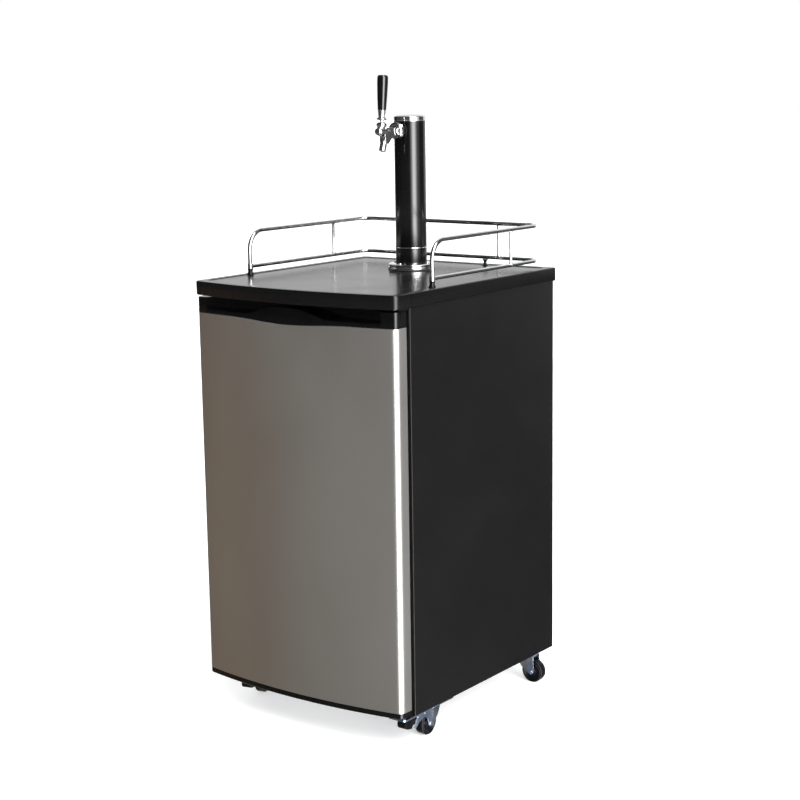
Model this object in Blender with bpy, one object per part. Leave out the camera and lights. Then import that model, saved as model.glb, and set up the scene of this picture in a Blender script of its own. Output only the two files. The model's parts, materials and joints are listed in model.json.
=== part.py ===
"""Kegerator: a draught beer cooler with a single-faucet tap tower, a guard rail and four casters.

Metres, +Z up. The front faces -Y, the door is hinged at +X, and the origin is on the floor under
the middle of the bounding box.
"""

import math

import bmesh
import bpy
from mathutils import Matrix, Vector

# Cabinet, worktop and door. DEPTH is the whole depth, from the worktop's bowed front to its rear edge.
GAP = 0.0003
CABINET_WIDTH = 0.515
WORKTOP_WIDTH = 0.522
DEPTH = 0.605
WORKTOP_TOP = 0.920
WORKTOP_THICKNESS = 0.029
WORKTOP_BOW = 0.028
FLOOR_GAP = 0.070
CABINET_FRONT = -0.2275
CABINET_REAR = 0.2965
SHEET = 0.0015
CAVITY_HALF_WIDTH = 0.2175
CAVITY_FLOOR = 0.115
CAVITY_CEILING = 0.850
CAVITY_REAR = 0.255
MACHINE_FRONT = 0.1465
MACHINE_TOP = 0.270
FOAM_WALL = 0.0315

DOOR_CORNER_FRONT = -0.2715
DOOR_REAR = -0.2395
DOOR_BOW = 0.025
DOOR_CORNER_RADIUS = 0.014
DOOR_BOTTOM = 0.0745
DOOR_TOP = 0.887
SKIN_BOTTOM = 0.086
SKIN_TOP = 0.8555
SKIN_THICKNESS = 0.001
SMILE_DROP = 0.006
SMILE_HALF_WIDTH = 0.150
POCKET_HALF_WIDTH = 0.225
POCKET_FLOOR = 0.864
POCKET_BACK = -0.2575
LIP_HALF_WIDTH = 0.112
LIP_TOP = 0.8835
LIP_THICKNESS = 0.006
HINGE_X = 0.2455
HINGE_Y = -0.2515
HINGE_PIN_RADIUS = 0.003

# Guard rail.
RAIL_HALF_WIDTH = 0.237
RAIL_FRONT = -0.1245
RAIL_REAR = 0.2745
RAIL_UPPER = 1.011
RAIL_LOWER = 0.9365
RAIL_RADIUS = 0.0045
RAIL_LOWER_RADIUS = 0.004
SPINDLE_RADIUS = 0.0032
RAIL_POST_BEND = 0.040
RAIL_CORNER_BEND = 0.030
FOOT_HEIGHT = 0.0120
BACK_FOOT_X = 0.0955
BACK_SPINDLE_X = 0.131
SIDE_SPINDLE_Y = 0.1595

# Tap tower. Its own frame has its origin on the deck, on the column's axis.
TOWER_Y = 0.1315
COLUMN_RADIUS = 0.0335
COLUMN_BORE = 0.0319
LINE_HOLE_RADIUS = 0.0265
FLANGE_RADIUS = 0.0498
FLANGE_BOTTOM = 0.0021
FLANGE_TOP = 0.0126
SCREW_CIRCLE_RADIUS = 0.0415
SCREW_HOLE_RADIUS = 0.0027
STUB_TOP = 0.0444
COLUMN_BOTTOM = 0.0484
COLUMN_TOP = 0.3150
TOWER_TOP = 0.3290
FAUCET_HEIGHT = 0.2957

# Faucet. Its own frame has its origin on the column's axis, at the height of the shank.
SHANK_RADIUS = 0.0108
PIVOT_Y = -0.099
PIVOT_Z = 0.014
LEVER_LEAN = math.radians(-4)
BALL_RADIUS = 0.0062
TIP_RADIUS = 0.0022
PLUNGER_RADIUS = 0.0046
PLUNGER_BORE = 0.0050
SEAT_Y = -0.0665
FRONT_Y = -0.1112

# Casters. Their own frame has its origin on the floor, on the swivel axis, with the wheel towards -Y.
FRONT_CASTER_X = 0.2235
REAR_CASTER_X = 0.2185
FRONT_CASTER_Y = -0.1245
REAR_CASTER_Y = 0.243
WHEEL_RADIUS = 0.0255
WHEEL_WIDTH = 0.020
TRAIL = 0.022
PLATE_BOTTOM = 0.0675
FORK_TOP = 0.0615
FORK_INSIDE = 0.0118
FORK_OUTSIDE = 0.0136
AXLE_RADIUS = 0.003
PEDAL_PIVOT_Y = -0.065
PEDAL_PIVOT_Z = 0.046

WHEEL_STEPS = 20
FINE_STEPS = 24
MEDIUM_STEPS = 16
SMALL_STEPS = 10
BODY_STEPS = 20
BORE_STEPS = 12


# ---------------------------------------------------------------- tools

def clear_scene():
    for obj in list(bpy.data.objects):
        bpy.data.objects.remove(obj, do_unlink=True)


def material(name, colour, roughness, metallic=0.0):
    """A plain finish: a Principled BSDF with its colour, roughness and metallic value."""
    made = bpy.data.materials.get(name)
    if made:
        return made
    made = bpy.data.materials.new(name)
    made.use_nodes = True
    shader = made.node_tree.nodes["Principled BSDF"]
    shader.inputs["Base Color"].default_value = (*colour, 1.0)
    shader.inputs["Roughness"].default_value = roughness
    shader.inputs["Metallic"].default_value = metallic
    made.diffuse_color = (*colour, 1.0)
    return made


FINISHES = {
    "brushed_stainless": ((0.42, 0.41, 0.39), 0.32, 1.0),
    "black_gloss_plastic": ((0.012, 0.012, 0.013), 0.15, 0.0),
    "black_painted_steel": ((0.016, 0.016, 0.017), 0.30, 0.0),
    "black_worktop": ((0.030, 0.030, 0.032), 0.38, 0.0),
    "chrome": ((0.75, 0.75, 0.76), 0.06, 1.0),
    "zinc_steel": ((0.55, 0.60, 0.68), 0.28, 1.0),
    "tower_black": ((0.010, 0.010, 0.011), 0.12, 0.0),
    "handle_black": ((0.008, 0.008, 0.009), 0.10, 0.0),
    "black_rubber": ((0.020, 0.020, 0.020), 0.70, 0.0),
    "wheel_black": ((0.014, 0.015, 0.018), 0.35, 0.0),
    "white_liner": ((0.82, 0.83, 0.83), 0.40, 0.0),
    "aluminium": ((0.72, 0.73, 0.74), 0.45, 1.0),
    "galvanised_steel": ((0.50, 0.51, 0.52), 0.50, 1.0),
    "clear_tubing": ((0.75, 0.78, 0.74), 0.25, 0.0),
}


def empty(name, location, parent=None, rotation=(0, 0, 0)):
    """A frame that pieces are placed in."""
    made = bpy.data.objects.new(name, None)
    bpy.context.scene.collection.objects.link(made)
    made.location = location
    made.rotation_euler = rotation
    made.parent = parent
    return made


def place(name, bm, finish, parent=None, turn=None):
    """Makes the object of a mesh, in its parent's frame, and smooths its round faces."""
    bmesh.ops.remove_doubles(bm, verts=bm.verts, dist=1e-7)
    bmesh.ops.recalc_face_normals(bm, faces=bm.faces)
    if turn is not None:
        bmesh.ops.transform(bm, matrix=turn, verts=bm.verts)
    mesh = bpy.data.meshes.new(name)
    bm.to_mesh(mesh)
    bm.free()
    mesh.shade_smooth()
    mesh.set_sharp_from_angle(angle=math.radians(32))
    made = bpy.data.objects.new(name, mesh)
    bpy.context.scene.collection.objects.link(made)
    made.parent = parent
    if finish:
        made.data.materials.append(material(finish, *FINISHES[finish]))
    return made


AXES = {
    "Z": Matrix.Identity(4),
    "Y": Matrix.Rotation(math.radians(-90), 4, "X"),
    "X": Matrix.Rotation(math.radians(90), 4, "Y"),
}


def turned(name, profile, steps, finish=None, axis="Z", centre=(0, 0, 0), parent=None, flat_down=False):
    """A profile of (radius, distance along the axis) points turned about an axis through centre.

    A profile that starts and ends on the axis makes a solid piece, and any other is closed into a ring.
    """
    bm = bmesh.new()
    points = [bm.verts.new((radius, 0, height)) for radius, height in profile]
    on_axis = profile[0][0] == 0 and profile[-1][0] == 0
    edges = [bm.edges.new(pair) for pair in zip(points, points[1:])]
    if not on_axis:
        edges.append(bm.edges.new((points[-1], points[0])))
    bmesh.ops.spin(bm, geom=points + edges, cent=(0, 0, 0), axis=(0, 0, 1), angle=math.tau,
                   steps=steps, use_merge=True)
    half_step = Matrix.Rotation(math.pi / steps if flat_down else 0, 4, "Z")
    return place(name, bm, finish, parent, Matrix.Translation(centre) @ AXES[axis] @ half_step)


def prism(name, outline, start, end, finish=None, axis="Z", parent=None):
    """An outline of two coordinates, in X, Y, Z order, extruded along the third axis from start to end."""
    corner = {
        "Z": lambda u, v: (u, v, start),
        "Y": lambda u, v: (u, start, v),
        "X": lambda u, v: (start, u, v),
    }[axis]
    bm = bmesh.new()
    face = bm.faces.new([bm.verts.new(corner(u, v)) for u, v in outline])
    swept = bmesh.ops.extrude_face_region(bm, geom=[face])
    along = Vector({"Z": (0, 0, 1), "Y": (0, 1, 0), "X": (1, 0, 0)}[axis]) * (end - start)
    moved = [v for v in swept["geom"] if isinstance(v, bmesh.types.BMVert)]
    bmesh.ops.translate(bm, vec=along, verts=moved)
    return place(name, bm, finish, parent)


def block(name, low, high, finish=None, parent=None):
    """A box from its lowest to its highest corner."""
    bm = bmesh.new()
    bmesh.ops.create_cube(bm, size=1)
    size = Vector(high) - Vector(low)
    middle = (Vector(high) + Vector(low)) / 2
    return place(name, bm, finish, parent, Matrix.Translation(middle) @ Matrix.Diagonal((*size, 1)))


def rod(name, radius, start, end, steps, finish=None, parent=None):
    """A round bar between two points."""
    line = Vector(end) - Vector(start)
    bm = bmesh.new()
    bmesh.ops.create_cone(bm, cap_ends=True, segments=steps, radius1=radius, radius2=radius, depth=line.length)
    turn = line.to_track_quat("Z", "Y").to_matrix().to_4x4()
    middle = (Vector(start) + Vector(end)) / 2
    return place(name, bm, finish, parent, Matrix.Translation(middle) @ turn)


def tube(name, points, radius, finish=None, parent=None, resolution=2):
    """A round tube along a line of points, as a closed mesh."""
    curve = bpy.data.curves.new(name, "CURVE")
    curve.dimensions = "3D"
    curve.bevel_depth = radius
    curve.bevel_resolution = resolution
    curve.use_fill_caps = True
    spline = curve.splines.new("POLY")
    spline.points.add(len(points) - 1)
    for point, at in zip(spline.points, points):
        point.co = (*at, 1)
    guide = bpy.data.objects.new(name + "_guide", curve)
    bpy.context.scene.collection.objects.link(guide)
    bm = bmesh.new()
    bm.from_mesh(bpy.data.meshes.new_from_object(guide.evaluated_get(bpy.context.evaluated_depsgraph_get())))
    bpy.data.objects.remove(guide)
    bmesh.ops.remove_doubles(bm, verts=bm.verts, dist=1e-5)
    return place(name, bm, finish, parent)


def combine(target, helper, operation):
    """Cuts a helper from a piece, or joins it to the piece, with a Boolean."""
    helper.hide_render = True
    helper.display_type = "WIRE"
    step = target.modifiers.new(helper.name, "BOOLEAN")
    step.operation = operation
    step.solver = "EXACT"
    step.object = helper
    return target


def cut(target, *helpers):
    for helper in helpers:
        combine(target, helper, "DIFFERENCE")
    return target


def join(target, *helpers):
    for helper in helpers:
        combine(target, helper, "UNION")
    return target


def weld_cut_pieces():
    """Merges the twin points that a Boolean leaves where its cuts cross."""
    for obj in bpy.data.objects:
        if obj.modifiers:
            weld = obj.modifiers.new("weld", "WELD")
            weld.merge_threshold = 2e-6


# ---------------------------------------------------------------- outlines

def arc(centre, radius, first, last, steps):
    """Points of an arc, from one angle in degrees to another."""
    angles = [math.radians(first + (last - first) * k / steps) for k in range(steps + 1)]
    return [(centre[0] + radius * math.cos(a), centre[1] + radius * math.sin(a)) for a in angles]


def rounded(corners, steps=4):
    """A polygon whose corners, given as (u, v, radius), are rounded with arcs."""
    outline = []
    for k, (u, v, radius) in enumerate(corners):
        here = Vector((u, v))
        if not radius:
            outline.append((u, v))
            continue
        before = (Vector(corners[k - 1][:2]) - here).normalized()
        after = (Vector(corners[(k + 1) % len(corners)][:2]) - here).normalized()
        half = before.angle(after) / 2
        centre = here + (before + after).normalized() * radius / math.sin(half)
        start = here + before * radius / math.tan(half) - centre
        sweep = (here + after * radius / math.tan(half) - centre)
        angle = start.angle_signed(sweep)
        for s in range(steps + 1):
            outline.append(tuple(centre + Matrix.Rotation(-angle * s / steps, 2) @ start))
    return outline


def rectangle(low, high, radius=0.0, steps=4):
    """A rectangle with rounded corners."""
    return rounded([(low[0], low[1], radius), (high[0], low[1], radius),
                    (high[0], high[1], radius), (low[0], high[1], radius)], steps)


def bowed(half_width, corner_y, bow, rear_y, radius, rear_radius=0.0, steps=12):
    """A plan outline that is straight behind and bows out at the front, with rounded front corners."""
    front = []
    for k in range(steps + 1):
        x = half_width * (1 - 2 * k / steps)
        y = corner_y - bow * (1 - (x / half_width) ** 2)
        front.append((x, y, radius if k in (0, steps) else 0))
    return rounded([(-half_width, rear_y, rear_radius), (half_width, rear_y, rear_radius), *front])


def door_outline(inset, rear_y):
    return bowed(CABINET_WIDTH / 2 - inset, DOOR_CORNER_FRONT + inset, DOOR_BOW, rear_y,
                 DOOR_CORNER_RADIUS - inset)


def smooth_step(t):
    t = min(max(t, 0), 1)
    return t * t * (3 - 2 * t)


def smile(x):
    """The height of the handle cap's lower edge, which dips in the middle."""
    return SKIN_TOP - SMILE_DROP * smooth_step(1 - abs(x) / SMILE_HALF_WIDTH)


def lip(x):
    """The height of the grip's upper edge, a hump that rises out of the pocket's floor."""
    return POCKET_FLOOR + (LIP_TOP - POCKET_FLOOR) * smooth_step(1.25 * (1 - abs(x) / LIP_HALF_WIDTH))


def across(half_width, steps):
    return [half_width * (2 * k / steps - 1) for k in range(steps + 1)]


# ---------------------------------------------------------------- cabinet

def cabinet():
    half = CABINET_WIDTH / 2
    top = WORKTOP_TOP - WORKTOP_THICKNESS - GAP
    shell = block("cabinet_shell", (-half, CABINET_FRONT, FLOOR_GAP), (half, CABINET_REAR, top),
                  "black_painted_steel")
    inside = block("shell_inside", (SHEET - half, CABINET_FRONT + SHEET, 0),
                   (half - SHEET, CABINET_REAR - SHEET, top - SHEET))
    mouth = block("shell_mouth", (-CAVITY_HALF_WIDTH, CABINET_FRONT - SHEET, CAVITY_FLOOR),
                  (CAVITY_HALF_WIDTH, CABINET_FRONT + 2 * SHEET, CAVITY_CEILING))
    hatch = block("shell_hatch", (-0.215, CABINET_REAR - 2 * SHEET, 0.085),
                  (0.215, CABINET_REAR + SHEET, MACHINE_TOP - 0.005))
    line_hole = rod("shell_line_hole", LINE_HOLE_RADIUS, (0, TOWER_Y, top - 0.01), (0, TOWER_Y, top + 0.01),
                    MEDIUM_STEPS)
    cut(shell, inside, mouth, hatch, line_hole)

    liner()
    base_plate = block("base_plate", (-half + SHEET + GAP, CABINET_FRONT + SHEET + GAP, FLOOR_GAP + GAP),
                       (half - SHEET - GAP, CABINET_REAR - SHEET - GAP, FLOOR_GAP + 0.003),
                       "galvanised_steel")
    for side in (-1, 1):
        beam = block(f"base_beam_{side}", (side * FRONT_CASTER_X - 0.022, CABINET_FRONT + 0.01, FLOOR_GAP + 0.001),
                     (side * FRONT_CASTER_X + 0.022, MACHINE_FRONT - 0.02, FLOOR_GAP + 0.013))
        join(base_plate, beam)
    rear_cover()
    compressor()


def liner():
    """The foamed-in-place insulation and the white liner that faces it, which can't be parted."""
    half = CABINET_WIDTH / 2 - SHEET - GAP
    front = CABINET_FRONT + SHEET + GAP
    rear = CABINET_REAR - SHEET - GAP
    top = WORKTOP_TOP - WORKTOP_THICKNESS - SHEET - 2 * GAP
    side = rounded([(front, CAVITY_FLOOR - 0.0310, 0), (MACHINE_FRONT, CAVITY_FLOOR - 0.0310, 0),
                    (MACHINE_FRONT, MACHINE_TOP, 0), (rear, MACHINE_TOP, 0), (rear, top, 0), (front, top, 0)])
    body = prism("insulated_liner", side, -half, half, "white_liner", "X")
    step_y = MACHINE_FRONT - FOAM_WALL
    step_z = MACHINE_TOP + FOAM_WALL
    hollow = rounded([(front - 0.01, CAVITY_FLOOR, 0), (step_y, CAVITY_FLOOR, 0.010), (step_y, step_z, 0.010),
                      (CAVITY_REAR, step_z, 0.010), (CAVITY_REAR, CAVITY_CEILING, 0.010),
                      (front - 0.01, CAVITY_CEILING, 0)], 3)
    cavity = prism("liner_cavity", hollow, -CAVITY_HALF_WIDTH, CAVITY_HALF_WIDTH, axis="X")
    line_hole = rod("liner_line_hole", LINE_HOLE_RADIUS - 0.001, (0, TOWER_Y, CAVITY_CEILING - 0.02),
                    (0, TOWER_Y, top + 0.02), MEDIUM_STEPS)
    return cut(body, cavity, line_hole)


def rear_cover():
    """The louvred sheet over the compressor's compartment."""
    cover = prism("rear_cover", rectangle((-0.230, 0.078), (0.230, 0.285), 0.008, 3), CABINET_REAR + GAP,
                  CABINET_REAR + GAP + SHEET, "black_painted_steel", "Y")
    for row in range(6):
        low = 0.105 + row * 0.026
        for side in (-1, 1):
            middle = side * 0.105
            slot = block(f"louvre_{row}_{side}", (middle - 0.08, CABINET_REAR - 0.01, low),
                         (middle + 0.08, CABINET_REAR + 0.01, low + 0.008))
            cut(cover, slot)
    return cover


def compressor():
    x, y = -0.06, 0.220
    foot = FLOOR_GAP + 0.0035
    profile = [(0, foot + 0.008), (0.042, foot + 0.008), (0.054, foot + 0.020), (0.056, foot + 0.070),
               (0.058, foot + 0.072), (0.058, foot + 0.078), (0.056, foot + 0.080), (0.054, foot + 0.118),
               (0.040, foot + 0.138), (0, foot + 0.145)]
    pot = turned("compressor", profile, MEDIUM_STEPS, "black_painted_steel", centre=(x, y, 0))
    tray = prism("compressor_tray", rectangle((x - 0.085, y - 0.050), (x + 0.085, y + 0.050), 0.010, 2),
                 foot, foot + 0.012)
    return join(pot, tray)


def interior():
    """What the cold compartment holds: the evaporator, the thermostat and the keg's floor plate."""
    evaporator = prism("evaporator_plate",
                       rounded([(CAVITY_REAR - 0.0030, 0.34, 0), (CAVITY_REAR - 0.0012, 0.34, 0),
                                (CAVITY_REAR - 0.0012, 0.80, 0.004), (CAVITY_REAR - 0.075, 0.80, 0),
                                (CAVITY_REAR - 0.075, 0.7982, 0), (CAVITY_REAR - 0.0030, 0.7982, 0.003)], 3),
                       -0.190, 0.190, "aluminium", "X")
    plate = prism("keg_floor_plate", rectangle((-0.195, -0.205), (0.195, 0.105), 0.015), CAVITY_FLOOR + GAP,
                  CAVITY_FLOOR + 0.0025, "galvanised_steel")
    rim = turned("keg_rim", [(0.138, CAVITY_FLOOR + 0.001), (0.142, CAVITY_FLOOR + 0.001),
                             (0.142, CAVITY_FLOOR + 0.006), (0.138, CAVITY_FLOOR + 0.006)], FINE_STEPS,
                 centre=(0, -0.050, 0))
    join(plate, rim)
    housing = prism("thermostat_housing", rounded([(-0.100, CAVITY_CEILING - GAP, 0), (0.020, CAVITY_CEILING - GAP, 0),
                                                   (0.020, 0.812, 0.006), (-0.100, 0.806, 0.006)], 3),
                    -0.065, 0.065, "white_liner", "X")
    spindle_hole = rod("thermostat_hole", 0.0036, (0.030, -0.12, 0.828), (0.030, -0.085, 0.828), SMALL_STEPS)
    cut(housing, spindle_hole)
    frame = empty("thermostat_axis", (0.030, -0.100, 0.828))
    knob = turned("thermostat_knob", [(0, -0.016), (0.010, -0.016), (0.0145, -0.014), (0.0155, -0.0005),
                                      (0.0032, -0.0005), (0.0032, 0.008), (0, 0.008)], MEDIUM_STEPS,
                  "white_liner", "Y", parent=frame)
    pointer = block("knob_pointer", (-0.0015, -0.0185, 0), (0.0015, -0.013, 0.0150), parent=frame)
    join(knob, pointer)
    return evaporator


def worktop():
    half = WORKTOP_WIDTH / 2
    low = WORKTOP_TOP - WORKTOP_THICKNESS
    corner = -DEPTH / 2 + WORKTOP_BOW
    slab = prism("worktop", bowed(half, corner, WORKTOP_BOW, DEPTH / 2, 0.018, 0.006), low, WORKTOP_TOP,
                 "black_worktop")
    rim = 0.020
    tray = prism("worktop_tray", bowed(half - rim, corner + rim, WORKTOP_BOW * 0.8, DEPTH / 2 - rim, 0.012, 0.012),
                 WORKTOP_TOP - 0.0012, WORKTOP_TOP + 0.01)
    # The tower, the posts and the feet stand on pads that stay at full height.
    pads = [rod("tower_pad", FLANGE_RADIUS + 0.002, (0, TOWER_Y, low + 0.01), (0, TOWER_Y, WORKTOP_TOP + 0.02),
                FINE_STEPS)]
    for x, y in rail_feet():
        pads.append(rod("rail_pad", 0.0085, (x, y, low + 0.01), (x, y, WORKTOP_TOP + 0.02), SMALL_STEPS))
    cut(tray, *pads)
    line_hole = rod("worktop_line_hole", LINE_HOLE_RADIUS, (0, TOWER_Y, low - 0.01),
                    (0, TOWER_Y, WORKTOP_TOP + 0.01), MEDIUM_STEPS)
    cut(slab, tray, line_hole)
    for k, (x, y) in enumerate(flange_screws()):
        pilot = rod(f"worktop_pilot_{k}", SCREW_HOLE_RADIUS, (x, TOWER_Y + y, WORKTOP_TOP - 0.018),
                    (x, TOWER_Y + y, WORKTOP_TOP + 0.01), SMALL_STEPS)
        cut(slab, pilot)
    return slab


# ---------------------------------------------------------------- door

def door():
    hinge = empty("door_hinge_axis", (HINGE_X, HINGE_Y, 0))
    pieces = [door_skin(), door_panel(), door_cap(), door_trim(), door_gasket()]
    for piece in pieces:
        for part in (piece, *[m.object for m in piece.modifiers if m.type == "BOOLEAN"]):
            part.data.transform(Matrix.Translation((-HINGE_X, -HINGE_Y, 0)))
            part.parent = hinge


def hinge_hole(name, low, high):
    return rod(name, HINGE_PIN_RADIUS + 0.0006, (HINGE_X, HINGE_Y, low), (HINGE_X, HINGE_Y, high), SMALL_STEPS)


def smile_cutter(name, clearance):
    """Everything above the handle cap's lower edge, less a clearance."""
    edge = [(x, smile(x) - clearance) for x in across(0.27, 36)]
    return prism(name, [*edge, (0.27, 0.95), (-0.27, 0.95)], -0.40, -0.10, axis="Y")


def door_skin():
    """The stainless sheet, wrapped round the bowed front and the door's two edges."""
    skin = prism("door_skin", door_outline(0, DOOR_REAR), SKIN_BOTTOM, SKIN_TOP + 0.01, "brushed_stainless")
    inside = prism("skin_inside", door_outline(SKIN_THICKNESS, DOOR_REAR + 0.02), SKIN_BOTTOM - 0.01,
                   SKIN_TOP + 0.02)
    return cut(skin, inside, smile_cutter("skin_top", GAP))


def door_panel():
    """The foam core and the white inner panel, whose raised dyke fills the cabinet's mouth."""
    inset = SKIN_THICKNESS + GAP
    panel = prism("door_inner_panel", door_outline(inset, DOOR_REAR), SKIN_BOTTOM + GAP, SKIN_TOP + 0.01,
                  "white_liner")
    dyke = prism("door_dyke", rectangle((-0.190, 0.150), (0.190, 0.790), 0.020, 3), DOOR_REAR - 0.005,
                 DOOR_REAR + 0.022, axis="Y")
    well = prism("door_well", rectangle((-0.165, 0.175), (0.165, 0.765), 0.015, 3), DOOR_REAR + 0.006,
                 DOOR_REAR + 0.03, axis="Y")
    join(panel, dyke)
    return cut(panel, well, smile_cutter("panel_top", GAP))


def door_cap():
    """The black moulding along the door's top, with a finger pocket and a humped grip in front of it."""
    cap = prism("door_handle_cap", door_outline(0, DOOR_REAR), SKIN_TOP - SMILE_DROP, DOOR_TOP,
                "black_gloss_plastic")
    edge = [(x, smile(x)) for x in across(0.27, 36)]
    below = prism("cap_below", [*reversed(edge), (-0.27, 0.80), (0.27, 0.80)], -0.40, -0.10, axis="Y")
    half = POCKET_HALF_WIDTH
    brim = [(x, lip(x)) for x in across(half, 30)]
    pocket = prism("cap_pocket", [*brim, (half, 0.92), (-half, 0.92)], -0.36, POCKET_BACK, axis="Y")
    behind = prism("cap_behind", bowed(half, DOOR_CORNER_FRONT + LIP_THICKNESS + 0.004, DOOR_BOW - 0.004,
                                       POCKET_BACK, 0.004), POCKET_FLOOR, 0.92)
    cut(cap, below, pocket, behind, hinge_hole("cap_hinge_hole", DOOR_TOP - 0.016, DOOR_TOP + 0.01))
    return cap


def door_trim():
    """The black end moulding under the stainless sheet."""
    trim = prism("door_bottom_trim", door_outline(0, DOOR_REAR), DOOR_BOTTOM, SKIN_BOTTOM - GAP,
                 "black_gloss_plastic")
    return cut(trim, hinge_hole("trim_hinge_hole", DOOR_BOTTOM - 0.01, DOOR_BOTTOM + 0.009))


def door_gasket():
    """The magnetic seal. It ends short of the hinge axis, so it leaves the cabinet as the door turns."""
    edge = HINGE_X - 0.006
    gasket = prism("door_gasket", rectangle((-edge, 0.098), (edge, 0.8535), 0.006, 3), DOOR_REAR + GAP,
                   CABINET_FRONT - GAP, "black_rubber", "Y")
    hole = prism("gasket_hole", rectangle((0.016 - edge, 0.114), (edge - 0.016, 0.8375), 0.004, 3),
                 DOOR_REAR - 0.01, CABINET_FRONT + 0.01, axis="Y")
    return cut(gasket, hole)


def hinges():
    """The two fixed brackets whose pins the door turns on."""
    low, high = DOOR_TOP + 0.0008, WORKTOP_TOP - WORKTOP_THICKNESS - GAP
    top = block("hinge_bracket_top", (0.222, HINGE_Y - 0.008, low), (0.256, CABINET_FRONT - GAP, high), "zinc_steel")
    flange = block("hinge_flange", (0.222, CABINET_FRONT - 0.0030, 0.858), (0.256, CABINET_FRONT - GAP, high))
    pin = rod("hinge_pin_top", HINGE_PIN_RADIUS, (HINGE_X, HINGE_Y, DOOR_TOP - 0.012),
              (HINGE_X, HINGE_Y, high - 0.0005), SMALL_STEPS)
    join(top, flange, pin)
    under = FLOOR_GAP - GAP
    plate = rounded([(0.212, -0.262, 0.008), (0.2565, -0.262, 0.008), (0.2565, -0.165, 0.004),
                     (0.228, -0.165, 0.004), (0.212, -0.200, 0.004)], 3)
    bottom = prism("hinge_bracket_bottom", plate, under - 0.0028, under, "zinc_steel")
    post = turned("hinge_pin_bottom", [(0, under - 0.0010), (0.0055, under - 0.0010), (0.0055, DOOR_BOTTOM - 0.0008),
                                       (HINGE_PIN_RADIUS, DOOR_BOTTOM - 0.0008), (HINGE_PIN_RADIUS, 0.0820),
                                       (0, 0.0820)], SMALL_STEPS, centre=(HINGE_X, HINGE_Y, 0))
    join(bottom, post)


# ---------------------------------------------------------------- guard rail

def rail_feet():
    return [(-RAIL_HALF_WIDTH, RAIL_FRONT), (RAIL_HALF_WIDTH, RAIL_FRONT),
            (-BACK_FOOT_X, RAIL_REAR), (BACK_FOOT_X, RAIL_REAR)]


def loop_points(height, bend_steps=5):
    """The rail's path in plan at one height, from the left end round the back to the right end."""
    corners = [(-RAIL_HALF_WIDTH, RAIL_REAR, RAIL_CORNER_BEND), (RAIL_HALF_WIDTH, RAIL_REAR, RAIL_CORNER_BEND)]
    outline = rounded([(-RAIL_HALF_WIDTH, RAIL_FRONT, 0), *corners, (RAIL_HALF_WIDTH, RAIL_FRONT, 0)], bend_steps)
    return [(x, y, height) for x, y in outline]


def guard_rail():
    """The welded chrome rail: an upper tube with its front posts, a lower tube and four spindles."""
    bend = arc((RAIL_FRONT + RAIL_POST_BEND, RAIL_UPPER - RAIL_POST_BEND), RAIL_POST_BEND, 180, 90, 6)
    post_foot = WORKTOP_TOP + FOOT_HEIGHT + GAP
    left = [(-RAIL_HALF_WIDTH, RAIL_FRONT, post_foot)] + [(-RAIL_HALF_WIDTH, y, z) for y, z in bend]
    right = [(-x, y, z) for x, y, z in reversed(left)]
    upper = tube("guard_rail", left + loop_points(RAIL_UPPER)[1:-1] + right, RAIL_RADIUS, "chrome")
    join(upper, tube("rail_lower_tube", loop_points(RAIL_LOWER), RAIL_LOWER_RADIUS))
    spots = [(s * RAIL_HALF_WIDTH, SIDE_SPINDLE_Y) for s in (-1, 1)] + [(s * BACK_SPINDLE_X, RAIL_REAR) for s in (-1, 1)]
    for k, (x, y) in enumerate(spots):
        join(upper, rod(f"rail_spindle_{k}", SPINDLE_RADIUS, (x, y, RAIL_LOWER), (x, y, RAIL_UPPER), 8))
    names = ("front_left", "front_right", "rear_left", "rear_right")
    for name, (x, y) in zip(names, rail_feet()):
        low = WORKTOP_TOP + GAP
        if name.startswith("front"):
            top = WORKTOP_TOP + FOOT_HEIGHT
            profile = [(0, low), (0.0070, low), (0.0070, low + 0.002), (0.0052, low + 0.004),
                       (0.0052, top - 0.003), (0.0060, top - 0.001), (0.0056, top), (0, top)]
        else:
            top = RAIL_LOWER - RAIL_LOWER_RADIUS - 0.0005
            profile = [(0, low), (0.0050, low), (0.0050, low + 0.0015), (0.0033, low + 0.002),
                       (0.0033, top - 0.004), (0.0062, top - 0.001), (0.0062, top), (0, top)]
        turned(f"rail_foot_{name}", profile, SMALL_STEPS, "black_gloss_plastic", centre=(x, y, 0))


# ---------------------------------------------------------------- tap tower

def flange_screws():
    return [(SCREW_CIRCLE_RADIUS * math.cos(a), SCREW_CIRCLE_RADIUS * math.sin(a))
            for a in (math.radians(90 * k) for k in range(4))]


def pin(radius, low, high):
    return [(0, low), (radius, low), (radius, high), (0, high)]


def ring(low, high, bore, radius):
    return [(bore, low), (radius, low), (radius, high), (bore, high)]


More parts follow.
